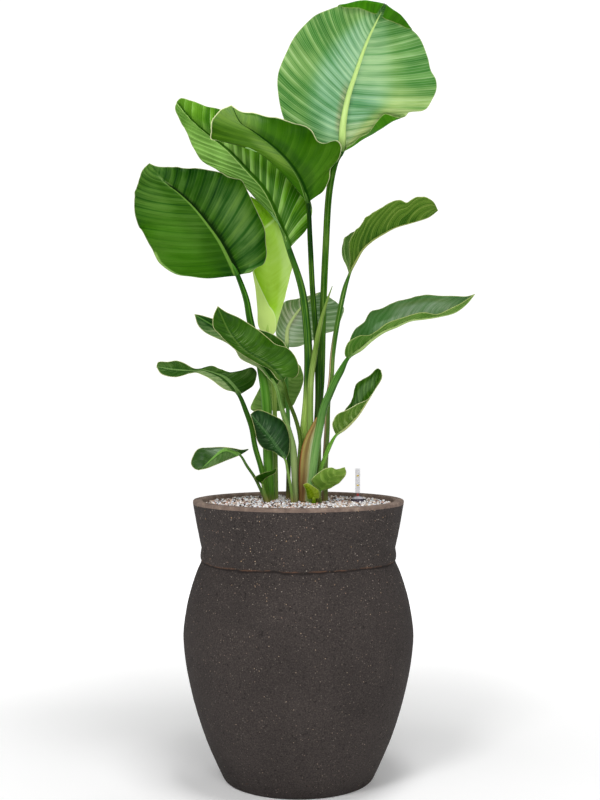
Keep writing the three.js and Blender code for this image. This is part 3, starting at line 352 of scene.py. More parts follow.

# How each leaf looks. The tones of the upper face, the underside and the stalk are deep, middle and light.
# A flank has the painted light and shade of the channel's left and right flank, and a line is a painted
# highlight beside the left. A glint is a painted highlight along the streaks, with a colour and a strength.
# A strip is a dry band on the stalk: from and to round it, from and to in height, and its colour. A wash is
# a soft patch of colour, either the leaf's own tint or painted light, shade or sheen: from and to along the
# midrib (0 to 1), from and to across the blade (-1 left margin, 0 midrib, 1 right margin), softness, colour
# and strength.
LOOKS = {
    "leaf_crown": {
        "seed": 1, "slot": "leaf_underside", "upper": (0x1e4a04, 0x336c08, 0x528c1c),
        "under": (0x34702a, 0x60904a, 0xa4c08c), "stalk": (0x144000, 0x285804, 0x6c8c38), "rib": 0x9cc45c,
        "rib_light": 0xcce498, "rib_root": 8.2, "rib_end": 0.955, "sink": 0.75, "grid": (240, 34),
        "pleats": (16, 25), "pleat": 1.3, "bend": (0.02, 0.045), "crimp": 0.0,
        "lines": (0.9, 0.9, -0.2, -0.1), "back_lines": 0.35, "saw_shading": 0.1, "noisy": 0.2, "valley_shade": 0.7,
        "crest_highlight": 0.4, "fine": 0.35, "edge_strength": 0.3,
        "washes": [
            # the dark wash over the tip is painted shadow under the rolled tip
            (0.05, 0.82, -0.42, 0.5, 0.16, 0x8cb8a0, 0.55), (0.14, 0.44, 0.03, 0.1, 0.05, 0x98845c, 0.6),
            (0.45, 0.8, -0.6, -0.02, 0.1, 0x6d9650, 0.6), (0.0, 0.42, -1.2, -0.5, 0.12, 0xb4c67a, 0.6),
            (-0.1, 0.2, -0.8, -0.02, 0.05, 0xb8bc80, 0.45), (0.0, 0.25, 0.3, 0.9, 0.1, 0x3a7830, 0.55),
            (0.1, 1.0, 0.6, 1.2, 0.15, 0x7c9c54, 0.5), (0.9, 1.2, -0.7, 0.7, 0.05, 0x2a6418, 0.75),
        ],
    },
    "leaf_back_left": {
        "seed": 2, "upper": (0x1a4900, 0x427204, 0x8cac64), "under": (0x5a8a44, 0x7fa566, 0xa9c48f),
        "stalk": (0x1a4410, 0x305e14, 0x6a9038), "rib": 0x5c8c34, "grid": (230, 30), "pleats": (19, 15),
        "pleat": 2.0, "bend": (0.08, -0.01), "channel": 2.5, "lines": (0.38, 1.0, -0.2, -0.1),
        "calm": (0.66, 0.8), "saw_shading": 0.3, "noisy": 0.12, "valley_shade": 0.15, "crest_highlight": 1.0,
        "flank": (0x2c5c0a, 0x245004), "flank_width": 9.6, "line": 0xa0bc6c, "margin": 0xc8d09c,
        "edge_strength": 0.7, "foot": 0xb0cc6c, "foot_dark": 0x84a840, "foot_reach": (185.0, 255.0),
        "strip": (0.74, 1.1, 60.0, 300.0, 0xa07c64),
        "washes": [
            (-0.1, 1.1, -1.2, -0.02, 0.06, 0x648a3e, 0.85), (0.7, 1.1, -1.2, 1.2, 0.1, 0x557c2c, 0.4),
            (0.0, 0.9, 0.1, 1.2, 0.1, 0x568818, 0.7), (0.0, 0.8, 0.03, 0.3, 0.08, 0x7c9c54, 0.5),
        ],
    },
    "leaf_arching": {
        "seed": 3, "upper": (0x0a3600, 0x275200, 0x4c7022), "stalk": (0x082800, 0x123a00, 0x4a7018),
        "rib": 0x547c2c, "grid": (190, 28), "pleats": (14, 14), "pleat": 0.7, "channel": 3.5,
        "lines": (0.5, 0.3, 0.1, 0.5), "saw_shading": 0.12, "crest_highlight": 0.3, "flank": (0x34541a, 0x083000),
        "flank_width": 7.0, "line": 0x688c44, "margin": 0xe4e8b4, "edge_width": 3.0, "edge_strength": 0.9,
        "washes": [
            # the dark wash right of the midrib is painted shadow beside the raised midrib
            (0.2, 1.1, -1.1, -0.06, 0.12, 0x305008, 0.8), (-0.1, 0.75, 0.0, 0.28, 0.1, 0x0a3000, 0.7),
            (0.75, 1.1, -1.2, 0.8, 0.1, 0x66864a, 0.7), (0.3, 0.6, -0.3, -0.02, 0.1, 0x6a8848, 0.5),
        ],
    },
    "leaf_left_broad": {
        "seed": 4, "upper": (0x0a3400, 0x234a02, 0x48662c), "stalk": (0x0e3800, 0x205004, 0x44741c),
        "rib": 0x447a1c, "grid": (220, 34), "pleats": (17, 11), "pleat": 1.5, "bend": (0.08, 0.03),
        "crimp": 2.0, "channel": 4.0, "lines": (0.9, 0.95, 0.3, 0.7), "saw_shading": 0.12, "valley_shade": 0.9,
        "crest_highlight": 0.1, "flank": (0x5a8030, 0x062000), "flank_end": 0.84, "margin": 0xc0c890,
        "edge_strength": 0.6, "foot": 0x6ca03c, "foot_dark": 0x40781c, "foot_reach": (200.0, 310.0),
        "washes": [
            # painted light and shade among these washes: the lighter lower left half, the shade over the
            # upper right half and in the dark valley right of the midrib, and a painted sheen on the right
            # half near the midrib
            (0.0, 0.62, -1.1, -0.35, 0.2, 0x2e6000, 0.7), (0.5, 0.9, 0.1, 1.2, 0.15, 0x123800, 0.7),
            (0.08, 0.5, 0.25, 0.8, 0.15, 0x4a6a34, 0.7), (0.55, 0.8, -1.1, -0.4, 0.12, 0x44682a, 0.5),
            (0.86, 1.1, -1.2, 1.2, 0.06, 0x44682a, 0.6), (0.0, 0.85, 0.0, 0.1, 0.04, 0x062000, 0.85),
            (-0.2, 0.06, 0.45, 1.3, 0.03, 0x6c9450, 0.8), (0.02, 0.3, -1.2, -0.96, 0.015, 0x8cb468, 0.7),
            (0.8, 0.9, -0.06, 0.1, 0.03, 0x6c8c50, 0.6),
        ],
    },
    "leaf_lime_rolled": {
        "seed": 5, "slot": "leaf_light", "upper": (0x98c438, 0xa8d24c, 0xb8dc68),
        "under": (0x98c438, 0xa8d24c, 0xb8dc68), "stalk": (0x6c8c34, 0x98b854, 0xb8cc78), "rib": 0xb4d668,
        "grid": (130, 20), "pleats": (20, 20), "pleat": 0.2, "saw_shading": 0.0, "valley_shade": 0.0, "crest_highlight": 0.1,
        "seam": (0.02, 0.5, 0xc4dc80, 0x7cb000, 0xdcecb0), "both": True,
        "washes": [
            (0.8, 1.3, -1.3, 1.3, 0.006, 0x80b810, 1.0), (0.783, 0.796, -1.3, 1.3, 0.006, 0xcce894, 0.8),
            (-0.1, 0.7, 0.5, 1.3, 0.15, 0xc0dc88, 0.6),
        ],
    },
    "leaf_behind": {
        "seed": 6, "slot": "leaf_underside", "upper": (0x28600f, 0x4a7d2c, 0x6f9a4a),
        "under": (0x4a7834, 0x84a070, 0xd0dcc4), "stalk": (0x2f6420, 0x487a30, 0x719a4e), "rib": 0xa4bc70,
        "rib_light": 0xc8d898, "rib_root": 4.6, "sink": 0.6, "grid": (140, 22), "pleats": (15, 15),
        # its dark foot is painted shade, for the stalk's base in the shadow of the others
        "pleat": 1.2, "lines": (0.7, 0.8, -0.2, -0.1), "saw_shading": 0.12, "valley_shade": 0.6, "foot": 0x54502c,
        "foot_dark": 0x34301c, "foot_reach": (10.0, 110.0),
        "washes": [
            (0.0, 0.8, -0.4, 0.4, 0.2, 0xb8c8b4, 0.5), (0.5, 1.1, -1.2, -0.3, 0.2, 0x4c7a48, 0.5),
            (0.35, 1.1, -0.1, 0.9, 0.12, 0xb4ac94, 0.5),
        ],
    },
    "leaf_front_left": {
        "seed": 7, "upper": (0x123400, 0x244a00, 0x466a1c), "stalk": (0x1c3400, 0x243c00, 0x5c7c2c),
        "rib": 0x44702a, "grid": (150, 20), "pleats": (16, 16), "pleat": 0.6, "channel": 1.2,
        "valley_shade": 0.2, "crest_highlight": 0.2, "gloss": 0.25, "painted_glint": (0x94ac78, 0.4),
        "flank": (0x44641e, 0x204804), "margin": 0xc8cc90, "edge_strength": 0.8, "foot": 0x7c9440,
        "foot_dark": 0x3c6014,
        "washes": [
            (0.05, 0.9, -0.9, -0.15, 0.2, 0x1c4400, 0.55), (0.0, 0.35, 0.2, 1.1, 0.15, 0x305a10, 0.6),
        ],
    },
    "leaf_under_left": {
        "seed": 8, "upper": (0x083000, 0x264c06, 0x587440), "under": (0x4c7a3a, 0x6f9a58, 0xa9c088),
        "stalk": (0x3c6a20, 0x6c8c48, 0x94b068), "rib": 0x68883c, "grid": (150, 20), "pleats": (16, 16),
        "pleat": 0.6, "valley_shade": 0.2, "crest_highlight": 0.2, "flank": (0x4c7430, 0x143c04), "margin": 0xc8cc94,
        "edge_strength": 0.8, "foot": 0x9fae74, "foot_dark": 0x7f9a58, "foot_reach": (20.0, 240.0),
        "washes": [
            (0.7, 1.1, -1.2, 1.2, 0.12, 0x1c4820, 0.6), (-0.1, 0.85, -1.2, -0.35, 0.12, 0x94a870, 0.75),
        ],
    },
    "leaf_twisted_left": {
        "seed": 9, "upper": (0x0a3200, 0x2c4c10, 0x647848), "under": (0x4c7440, 0x8aa870, 0xb8c898),
        "stalk": (0x082a00, 0x103800, 0x2c5804), "rib": 0x5c7c3a, "grid": (150, 18), "pleats": (13, 13),
        "pleat": 0.7, "channel": 1.0, "painted_glint": (0x8ca478, 0.4), "flank": (0x1c4008, 0x5c7c40),
        "margin": 0xc8cc94, "edge_strength": 0.8, "foot": 0x6ca034, "foot_dark": 0x40781c,
        "foot_strength": 0.6,
        "washes": [
            (-0.1, 0.42, 0.05, 1.2, 0.1, 0x143800, 0.85), (0.05, 0.62, -1.2, -0.15, 0.1, 0x8ca06c, 0.8),
            (0.68, 1.1, -1.2, 0.3, 0.05, 0x1c4408, 0.8),
        ],
    },
    "leaf_small_dark": {
        "seed": 10, "upper": (0x042004, 0x102e0a, 0x385a30), "under": (0x3c6a2c, 0x5c8a4a, 0x8aac70),
        "stalk": (0x2c5010, 0x567c30, 0x7c9c4c), "rib": 0x54783c, "grid": (110, 16), "pleats": (12, 12),
        "pleat": 0.5, "valley_shade": 0.2, "crest_highlight": 0.2, "gloss": 0.25, "painted_glint": (0x8ca480, 0.5),
        "flank": (0x1c4414, 0x3a6030), "edge_strength": 0.6,
        "washes": [
            (0.3, 0.8, 0.1, 0.7, 0.15, 0x2a4c2c, 0.5),
        ],
    },
    "leaf_lowest_left": {
        "seed": 11, "upper": (0x183c09, 0x2c4c1a, 0x687c58), "under": (0x5a8040, 0x7f9f60, 0xb0c090),
        "stalk": (0x123a0a, 0x305820, 0x5a7c40), "rib": 0x9aae80, "grid": (110, 14), "pleats": (10, 10),
        "pleat": 0.5, "valley_shade": 0.15, "gloss": 0.3, "flank": (0x6c9c44, 0x6c9c44), "flank_width": 5.7,
        "flank_end": 0.9, "edge_strength": 0.7, "foot_strength": 0.3,
        "washes": [
            (0.25, 0.6, 0.05, 0.6, 0.12, 0xa8b8a4, 0.6), (0.0, 0.9, -1.1, -0.2, 0.15, 0x6c8c50, 0.7),
        ],
    },
    "leaf_tiny_left": {
        "seed": 12, "upper": (0x042400, 0x183c00, 0x3f5f0d), "under": (0x1c4800, 0x345c08, 0x607c28),
        "stalk": (0x143a00, 0x2c5404, 0x5a7824), "rib": 0x5c7c24, "grid": (60, 10), "pleats": (8, 8),
        "pleat": 0.3,
    },
    "leaf_upper_right": {
        "seed": 13, "upper": (0x1c4402, 0x3a5c1a, 0x90a064), "under": (0x204a04, 0x46681a, 0x708440),
        "stalk": (0x24500c, 0x3c6a1e, 0x788e48), "rib": 0x84904c, "rib_root": 2.9, "grid": (150, 22),
        "pleats": (12, 12), "pleat": 1.0, "bend": (0.28, 0.28), "crimp": 1.6,
        "lines": (1.0, 1.0, -0.2, -0.1), "saw_shading": 0.1, "valley_shade": 0.3, "crest_highlight": 0.6, "fine": 0.45,
        "foot": 0x7c9050, "foot_dark": 0x607a34, "foot_reach": (60.0, 260.0),
        "strip": (-0.1, 0.36, 0.0, 330.0, 0xa07868),
        "washes": [
            # the light wash on the left half towards the base is a painted sheen
            (0.4, 1.1, -1.2, 1.2, 0.2, 0x747c44, 0.65), (-0.1, 0.5, -1.2, -0.05, 0.1, 0x6c8c50, 0.5),
        ],
    },
    "leaf_long_right": {
        "seed": 14, "upper": (0x244c10, 0x446030, 0x62785a), "under": (0x2c5c08, 0x5c8034, 0xa0ac74),
        "stalk": (0x184a06, 0x3a6a1a, 0x64903c), "rib": 0x90a864, "rib_root": 3.6, "grid": (180, 22),
        "pleats": (17, 17), "pleat": 1.0, "bend": (0.18, 0.18), "saw_shading": 0.04, "crest_highlight": 0.2,
        "painted_glint": (0x9c9c80, 0.5), "foot": 0x84ac64, "foot_dark": 0x5c8e48, "foot_reach": (40.0, 300.0),
        "washes": [
            (0.16, 0.5, -0.85, -0.2, 0.1, 0x3c6a34, 0.7), (-0.1, 0.16, -1.2, 1.2, 0.05, 0x1e5400, 0.7),
            (0.5, 0.8, -0.7, -0.1, 0.1, 0x8aa48e, 0.3), (0.3, 0.5, -0.45, -0.02, 0.06, 0x86a080, 0.4),
            (-0.1, 1.1, -1.2, -0.86, 0.05, 0x2e5c24, 0.7), (0.82, 1.1, -1.2, 0.0, 0.06, 0x3c6438, 0.6),
            (0.2, 1.1, 0.3, 1.2, 0.1, 0x949c60, 0.45),
        ],
    },
    "leaf_lower_right": {
        "seed": 15, "upper": (0x123c00, 0x2a5208, 0x5c7c34), "under": (0x28560a, 0x507224, 0x94a468),
        "stalk": (0x2c700a, 0x5c9a2c, 0x88bc54), "rib": 0xa4ac70, "rib_root": 2.6, "grid": (130, 18),
        "pleats": (12, 12), "pleat": 0.9, "bend": (0.16, 0.16), "lines": (0.8, 0.8, -0.2, -0.1),
        "saw_shading": 0.08, "crest_highlight": 0.4, "painted_glint": (0xa0b48c, 0.8), "margin": 0xd0d4a0, "edge_strength": 0.7,
        "foot": 0x88b04c, "foot_dark": 0x649430, "foot_strength": 0.5,
        "washes": [
            # the light wash along the middle of the left half is a painted highlight
            (0.0, 0.9, 0.5, 1.2, 0.15, 0x96a46c, 0.55), (0.4, 0.85, -0.75, -0.3, 0.1, 0x6c8c5c, 0.5),
        ],
    },
    "leaf_young_right": {
        "seed": 16, "slot": "leaf_light", "upper": (0x346010, 0x76983c, 0xa8bc7c),
        "under": (0x5a8020, 0x7a9c44, 0xa0bc6c), "stalk": (0x2c5c0c, 0x4c7c20, 0x789c44), "rib": 0x7ca040,
        "grid": (100, 16), "pleats": (6, 6), "pleat": 1.1, "bend": (0.2, 0.2), "crimp": 1.2,
        "lines": (0.3, 0.3, -0.2, -0.1), "saw_shading": 0.25, "noisy": 0.2, "valley_shade": 0.2, "crest_highlight": 0.2,
        "fine": 0.1, "painted_glint": (0xb4c898, 0.5), "margin": 0xc4cc90, "edge_strength": 0.7,
    },
    "leaf_young_front": {
        "seed": 17, "slot": "leaf_light", "upper": (0x3c4c00, 0x6c8804, 0x94a83c),
        "under": (0x5a7808, 0x7a941c, 0xa0b440), "stalk": (0x486800, 0x66820c, 0x8ca030), "rib": 0x8ca030,
        "grid": (60, 12), "pleats": (8, 8), "pleat": 0.3, "foot_strength": 0.0, "base": 0x66820c,
        "washes": [
            (-0.1, 1.1, -1.2, -0.4, 0.1, 0x2c5c00, 0.6), (-0.1, 1.1, 0.2, 1.2, 0.1, 0x94a838, 0.6),
        ],
    },
    "leaf_far_back": {
        "seed": 18, "upper": (0x244c08, 0x5c8434, 0x94b068), "under": (0x40702c, 0x6c9850, 0xa4c088),
        "stalk": (0x163c00, 0x305804, 0x587420), "rib": 0x6c8e48, "grid": (110, 16), "pleats": (14, 14),
        "pleat": 0.9,
        "washes": [
            (-0.1, 1.1, -1.2, -0.04, 0.05, 0x8cb05c, 0.55),
        ],
    },
    "leaf_spear": {
        "seed": 19, "slot": "leaf_light", "stalk": (0x486c1c, 0x748c40, 0x94ac60), "foot": 0x8fb45a,
        "foot_reach": (60.0, 300.0),
    },
}

# ---------------------------------------------------------------- paths and meshes

# How near two points are joined, in metres, and how much of a profile's leg a rounded corner may take.
WELD_DISTANCE = 0.00002
CORNER_SHARE = 0.45


class Path:
    """A smooth path through points, read by its share of length from 0 to 1."""

    def __init__(self, points, steps=24):
        p = np.array(points, float)
        ends = np.vstack([2 * p[0] - p[1], p, 2 * p[-1] - p[-2]])
        rows = []
        t = np.linspace(0, 1, steps, endpoint=False)[:, None]
        for p0, p1, p2, p3 in zip(ends, ends[1:], ends[2:], ends[3:]):
            d = [max(np.linalg.norm(b - a) ** 0.5, 1e-4) for a, b in ((p0, p1), (p1, p2), (p2, p3))]
            m1 = ((p1 - p0) / d[0] - (p2 - p0) / (d[0] + d[1]) + (p2 - p1) / d[1]) * d[1]
            m2 = ((p2 - p1) / d[1] - (p3 - p1) / (d[1] + d[2]) + (p3 - p2) / d[2]) * d[1]
            rows.append((2 * t**3 - 3 * t**2 + 1) * p1 + (t**3 - 2 * t**2 + t) * m1
                        + (3 * t**2 - 2 * t**3) * p2 + (t**3 - t**2) * m2)
        self.points = np.vstack(rows + [p[-1:]])
        self.lengths = chain_lengths(self.points)
        self.length = self.lengths[-1]

    def at(self, share):
        reach = np.clip(np.asarray(share, float), 0, 1) * self.length
        return np.stack([np.interp(reach, self.lengths, column) for column in self.points.T], -1)

    def along(self, share, reach=0.004):
        """The path's direction, taken over a short reach to both sides."""
        share = np.asarray(share, float)
        return unit(self.at(share + reach) - self.at(share - reach))


def chain_lengths(points):
    """The length of a chain of points up to each of them."""
    return np.concatenate([[0], np.cumsum(np.linalg.norm(np.diff(points, axis=0), axis=1))])


def unit(v):
    """Vectors brought to length 1."""
    return v / np.maximum(np.linalg.norm(v, axis=-1, keepdims=True), 1e-9)


def smooth(low, high, value):
    """A soft step from 0 at low to 1 at high."""
    x = np.clip((np.asarray(value, float) - low) / (high - low), 0, 1)
    return x * x * (3 - 2 * x)


def linear(colour):
    """A colour written as 0xRRGGBB, in linear light."""
    parts = [((colour >> shift) & 255) / 255 for shift in (16, 8, 0)]
    return [c / 12.92 if c <= 0.04045 else ((c + 0.055) / 1.055) ** 2.4 for c in parts]


def make(name, points, faces, materials, face_slots=None, values=None, body=BODY, nodes=()):
    """A smooth mesh object from points in millimetres, with values on its points, riding on a body."""
    mesh = bpy.data.meshes.new(name)
    mesh.from_pydata((np.asarray(points) * MM).tolist(), [], faces)
    for material in materials:
        mesh.materials.append(material)
    if face_slots is not None:
        mesh.polygons.foreach_set("material_index", np.asarray(face_slots, np.int32))
    mesh.polygons.foreach_set("use_smooth", np.ones(len(mesh.polygons), bool))
    for key, rows in (values or {}).items():
        attribute = mesh.attributes.new(key, "FLOAT_VECTOR", "POINT")
        attribute.data.foreach_set("vector", np.asarray(rows, np.float32).ravel())
    mesh.update()
    obj = bpy.data.objects.new(name, mesh)
    bpy.context.scene.collection.objects.link(obj)
    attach(obj, body)
    if nodes:
        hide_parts(*nodes)
    return obj


def weld(obj):
    """Closes the points where a grid's row has shrunk to one point."""
    bm = bmesh.new()
    bm.from_mesh(obj.data)
    bmesh.ops.remove_doubles(bm, verts=bm.verts, dist=WELD_DISTANCE)
    bmesh.ops.dissolve_degenerate(bm, dist=WELD_DISTANCE / 4, edges=bm.edges)
    bm.to_mesh(obj.data)
    bm.free()


def grid_faces(rows, columns, closed=False):
    """Quads between rows of points; closed joins each row's ends."""
    faces = []
    for i in range(rows - 1):
        for j in range(columns if closed else columns - 1):
            a = i * columns + j
            b = i * columns + (j + 1) % columns
            faces.append((a, b, b + columns, a + columns))
    return faces


def grid_normals(grid):
    """Upward directions of a grid's points; the first and last row take those beside them."""
    normal = unit(np.cross(np.gradient(grid, axis=1), np.gradient(grid, axis=0)))
    for row, beside in ((0, 1), (-1, -2)):
        shrunk = np.linalg.norm(grid[row] - grid[row].mean(axis=0), axis=-1).max() < 1e-6
        normal[row] = normal[beside].mean(axis=0) if shrunk else normal[beside]
    return unit(normal)


def shell(grid, thickness, values, pointed=False):
    """A closed sheet from a grid of points: its upper face, its lower face and a rim all round, or
    only along the sides where the first and last row shrink to a point.
    Returns points, faces, the slot of each face (0 upper, 1 lower and rim) and the values."""
    rows, columns = grid.shape[:2]
    normal = grid_normals(grid)
    half = np.broadcast_to(np.asarray(thickness, float) / 2, (rows, columns))[..., None]
    upper = (grid + normal * half).reshape(-1, 3)
    lower = (grid - normal * half).reshape(-1, 3)
    count = rows * columns
    top = grid_faces(rows, columns)
    right = [i * columns + columns - 1 for i in range(rows)]
    left = [i * columns for i in range(rows - 1, -1, -1)]
    pairs = list(zip(right, right[1:])) + list(zip(left, left[1:]))
    if not pointed:
        first = list(range(columns))
        last = [(rows - 1) * columns + j for j in range(columns - 1, -1, -1)]
        pairs += list(zip(first, first[1:])) + list(zip(last, last[1:]))
    faces = top + [(a + count, d + count, c + count, b + count) for a, b, c, d in top]
    faces += [(b, a, a + count, b + count) for a, b in pairs]
    slots = [0] * len(top) + [1] * (len(top) + len(pairs))
    doubled = {key: np.vstack([v.reshape(-1, 3)] * 2) for key, v in values.items()}
    return np.vstack([upper, lower]), faces, slots, doubled


def turned(profile, sides, centre=(0, 0)):
    """A profile of [radius, height] turned about a vertical axis, as points and faces."""
    angles = np.linspace(0, 2 * math.pi, sides, endpoint=False)
    profile = np.asarray(profile, float)
    x = centre[0] + profile[:, :1] * np.cos(angles)
    y = centre[1] + profile[:, :1] * np.sin(angles)
    z = np.broadcast_to(profile[:, 1:2], x.shape)
    return np.stack([x, y, z], -1).reshape(-1, 3), grid_faces(len(profile), sides, closed=True)


def rounded(profile, radius=0.6, steps=4):
    """A [radius, height] profile with all its corners but the first and last point rounded off."""
    p = np.asarray(profile, float)
    rows = [p[0]]
    for before, here, after in zip(p, p[1:], p[2:]):
        a, b = before - here, after - here
        reach = min(radius, np.linalg.norm(a) * CORNER_SHARE, np.linalg.norm(b) * CORNER_SHARE)
        start, end = here + unit(a) * reach, here + unit(b) * reach
        for t in np.linspace(0, 1, steps):
            rows.append((1 - t) ** 2 * start + 2 * t * (1 - t) * here + t * t * end)
    return np.array(rows + [p[-1]])


# ---------------------------------------------------------------- materials

# How much narrower half the channel over the midrib is at the tip, and how sharply the halves change there.
CHANNEL_TAPER = 5.5
RIB_LINE = 0.0005
VEINS_PER_PLEAT = 5.0
UNDER_SEED = 9
# Where round the stalk the painted shade of its groove and the painted highlight on the ledge beside it lie:
# 0 at one side, 1 at the opposite one.
GROOVE_SHADE_ANGLE = 0.36
LEDGE_HIGHLIGHT_ANGLE = 0.27
DRY_LIGHT = 0xb4a47c


class Nodes:
    """A material's node tree, built by calls that return sockets. The keywords are constants of the
    shader, with _ for a blank."""

    def __init__(self, name, **constants):
        self.material = bpy.data.materials.new(name)
        self.material.use_nodes = True
        self.tree = self.material.node_tree
        self.shader = self.tree.nodes["Principled BSDF"]
        for key, value in constants.items():
            self.shader.inputs[key.replace("_", " ")].default_value = value

    def put(self, socket, value):
        if isinstance(value, bpy.types.NodeSocket):
            self.tree.links.new(value, socket)
        elif isinstance(value, (int, float)):
            socket.default_value = value
        else:
            value = list(value)
            size = len(socket.default_value)
            socket.default_value = value + [1.0] * (size - len(value))

    def node(self, kind, inputs=(), output=0, **settings):
        node = self.tree.nodes.new(kind)
        for key, value in settings.items():
            setattr(node, key, value)
        for key, value in dict(inputs).items():
            self.put(node.inputs[key], value)
        return node.outputs[output]

    def math(self, operation, *values):
        return self.node("ShaderNodeMath", dict(enumerate(values)), operation=operation)

    def times(self, first, *others):
        """The product of all the values."""
        for value in others:
            first = self.math("MULTIPLY", first, value)
        return first

    def scaled(self, value, factor, start):
        """A start plus a value times a factor."""
        return self.math("MULTIPLY_ADD", value, factor, start)

    def off(self, value, centre):
        """How far a value is from a centre."""
        return self.math("ABSOLUTE", self.math("SUBTRACT", value, centre))

    def range(self, value, low, high, to_low=0.0, to_high=1.0):
        """A soft step from one value at low to another at high."""
        return self.node("ShaderNodeMapRange", {0: value, 1: low, 2: high, 3: to_low, 4: to_high},
                         interpolation_type="SMOOTHSTEP")

    def fade(self, value, low, high, amount=1.0):
        """A soft step from an amount at low down to 0 at high."""
        return self.range(value, low, high, amount, 0.0)

    def split(self, vector):
        node = self.tree.nodes.new("ShaderNodeSeparateXYZ")
        self.put(node.inputs[0], vector)
        return node.outputs

    def join(self, x, y, z):
        return self.node("ShaderNodeCombineXYZ", {0: x, 1: y, 2: z})

    def value(self, name):
        """The values that a mesh has on its points under a name."""
        return self.node("ShaderNodeAttribute", output="Vector", attribute_name=name)

    def place(self):
        return self.node("ShaderNodeTexCoord", output="Object")

    def noise(self, vector, scale, detail=2.0, roughness=0.5):
        return self.node("ShaderNodeTexNoise",
                         {"Vector": vector, "Scale": scale, "Detail": detail, "Roughness": roughness})

    def cells(self, vector, scale, output="Distance"):
        return self.node("ShaderNodeTexVoronoi", {"Vector": vector, "Scale": scale}, output=output)

    def ramp(self, value, *stops, interpolation="LINEAR"):
        """Colours by value, from stops of (value, colour)."""
        node = self.tree.nodes.new("ShaderNodeValToRGB")
        node.color_ramp.interpolation = interpolation
        elements = node.color_ramp.elements
        while len(elements) < len(stops):
            elements.new(0.5)
        for element, (at, colour) in zip(elements, stops):
            element.position = at
            element.color = [*linear(colour), 1]
        self.put(node.inputs[0], value)
        return node.outputs[0]

    def mix(self, factor, a, b, blend="MIX"):
        """Colour a turned into colour b, or blended with it, by a factor."""
        node = self.tree.nodes.new("ShaderNodeMix")
        node.data_type = "RGBA"
        node.blend_type = blend
        self.put(node.inputs[0], factor)
        self.put(node.inputs[6], a if not isinstance(a, int) else linear(a))
        self.put(node.inputs[7], b if not isinstance(b, int) else linear(b))
        return node.outputs[2]

    def zigzag(self, value):
        """1 at whole numbers and 0 halfway between them."""
        return self.math("ABSOLUTE", self.scaled(self.math("FRACT", value), 2.0, -1.0))

    def wash(self, colour, run, across, strength, row):
        """A soft patch of colour between two places along and two across: the leaf's own tint, or painted
        light, shade or sheen.
        """
        start, end, left, right, soft, tint, amount = row
        mask = self.times(self.range(run, start - soft, start + soft),
                          self.fade(run, end - soft, end + soft),
                          self.range(across, left - soft, left + soft, 0.0, amount),
                          self.fade(across, right - soft, right + soft), strength)
        return self.mix(mask, colour, tint)

    def seam(self, colour, run, across, start, end, outer, fold, line):
        """The free edge of a blade still rolled up: the outer turn, the shade beside it and its line."""
        beyond = self.math("SUBTRACT", across, self.range(run, start, end, 1.0, -0.95))
        shade = self.times(self.fade(beyond, 0.0, 0.9, 0.75), self.range(run, 0.12, 0.3))
        colour = self.mix(shade, colour, fold)
        colour = self.mix(self.fade(beyond, -0.03, 0.01, 0.85), colour, outer)
        return self.mix(self.fade(self.math("ABSOLUTE", beyond), 0.01, 0.05, 0.6), colour, line)

    def bump(self, height, distance, strength=1.0):
        normal = self.node("ShaderNodeBump", {"Height": height, "Distance": distance, "Strength": strength},
                           output="Normal")
        self.tree.links.new(normal, self.shader.inputs["Normal"])

    def done(self, colour, roughness=None):
        self.put(self.shader.inputs["Base Color"], colour)
        if roughness is not None:
            self.put(self.shader.inputs["Roughness"], roughness)
        return self.material


def stripe_strength(n, look, seen, run, across):
    """How strong the stripes are: by half, towards the base and towards the tip."""
    left, right, start, end = look["lines"]
    share = 1.0 if seen else look["back_lines"]
    left = n.range(run, start, end, 0.35 * left * share, left * share)
    strength = n.node("ShaderNodeMix", {0: n.range(across, -0.01, 0.01), 2: left, 3: right * share})
    return n.times(strength, n.range(run, *look["calm"], 1.0, 0.3))


def channel_flanks(n, look, colour, run, across, from_rib):
    """Painted light and shade on the flanks of the channel over the midrib, left and right, with a painted
    highlight line beside the left one.
    """
    near = n.math("DIVIDE", from_rib, n.scaled(run, -CHANNEL_TAPER, look["flank_width"]))
    flanks = n.mix(n.range(across, -RIB_LINE, RIB_LINE), *look["flank"])
    end = look["flank_end"]
    inside = n.times(n.fade(near, 0.75, 1.1, 0.9), n.fade(run, end - 0.05, end + 0.05))
    colour = n.mix(inside, colour, flanks)
    if "line" in look:
        line = n.times(n.range(near, 0.85, 1.05), n.fade(near, 1.15, 1.45),
                       n.fade(across, -RIB_LINE, 0.0, 0.8))
        colour = n.mix(line, colour, look["line"])
    return colour


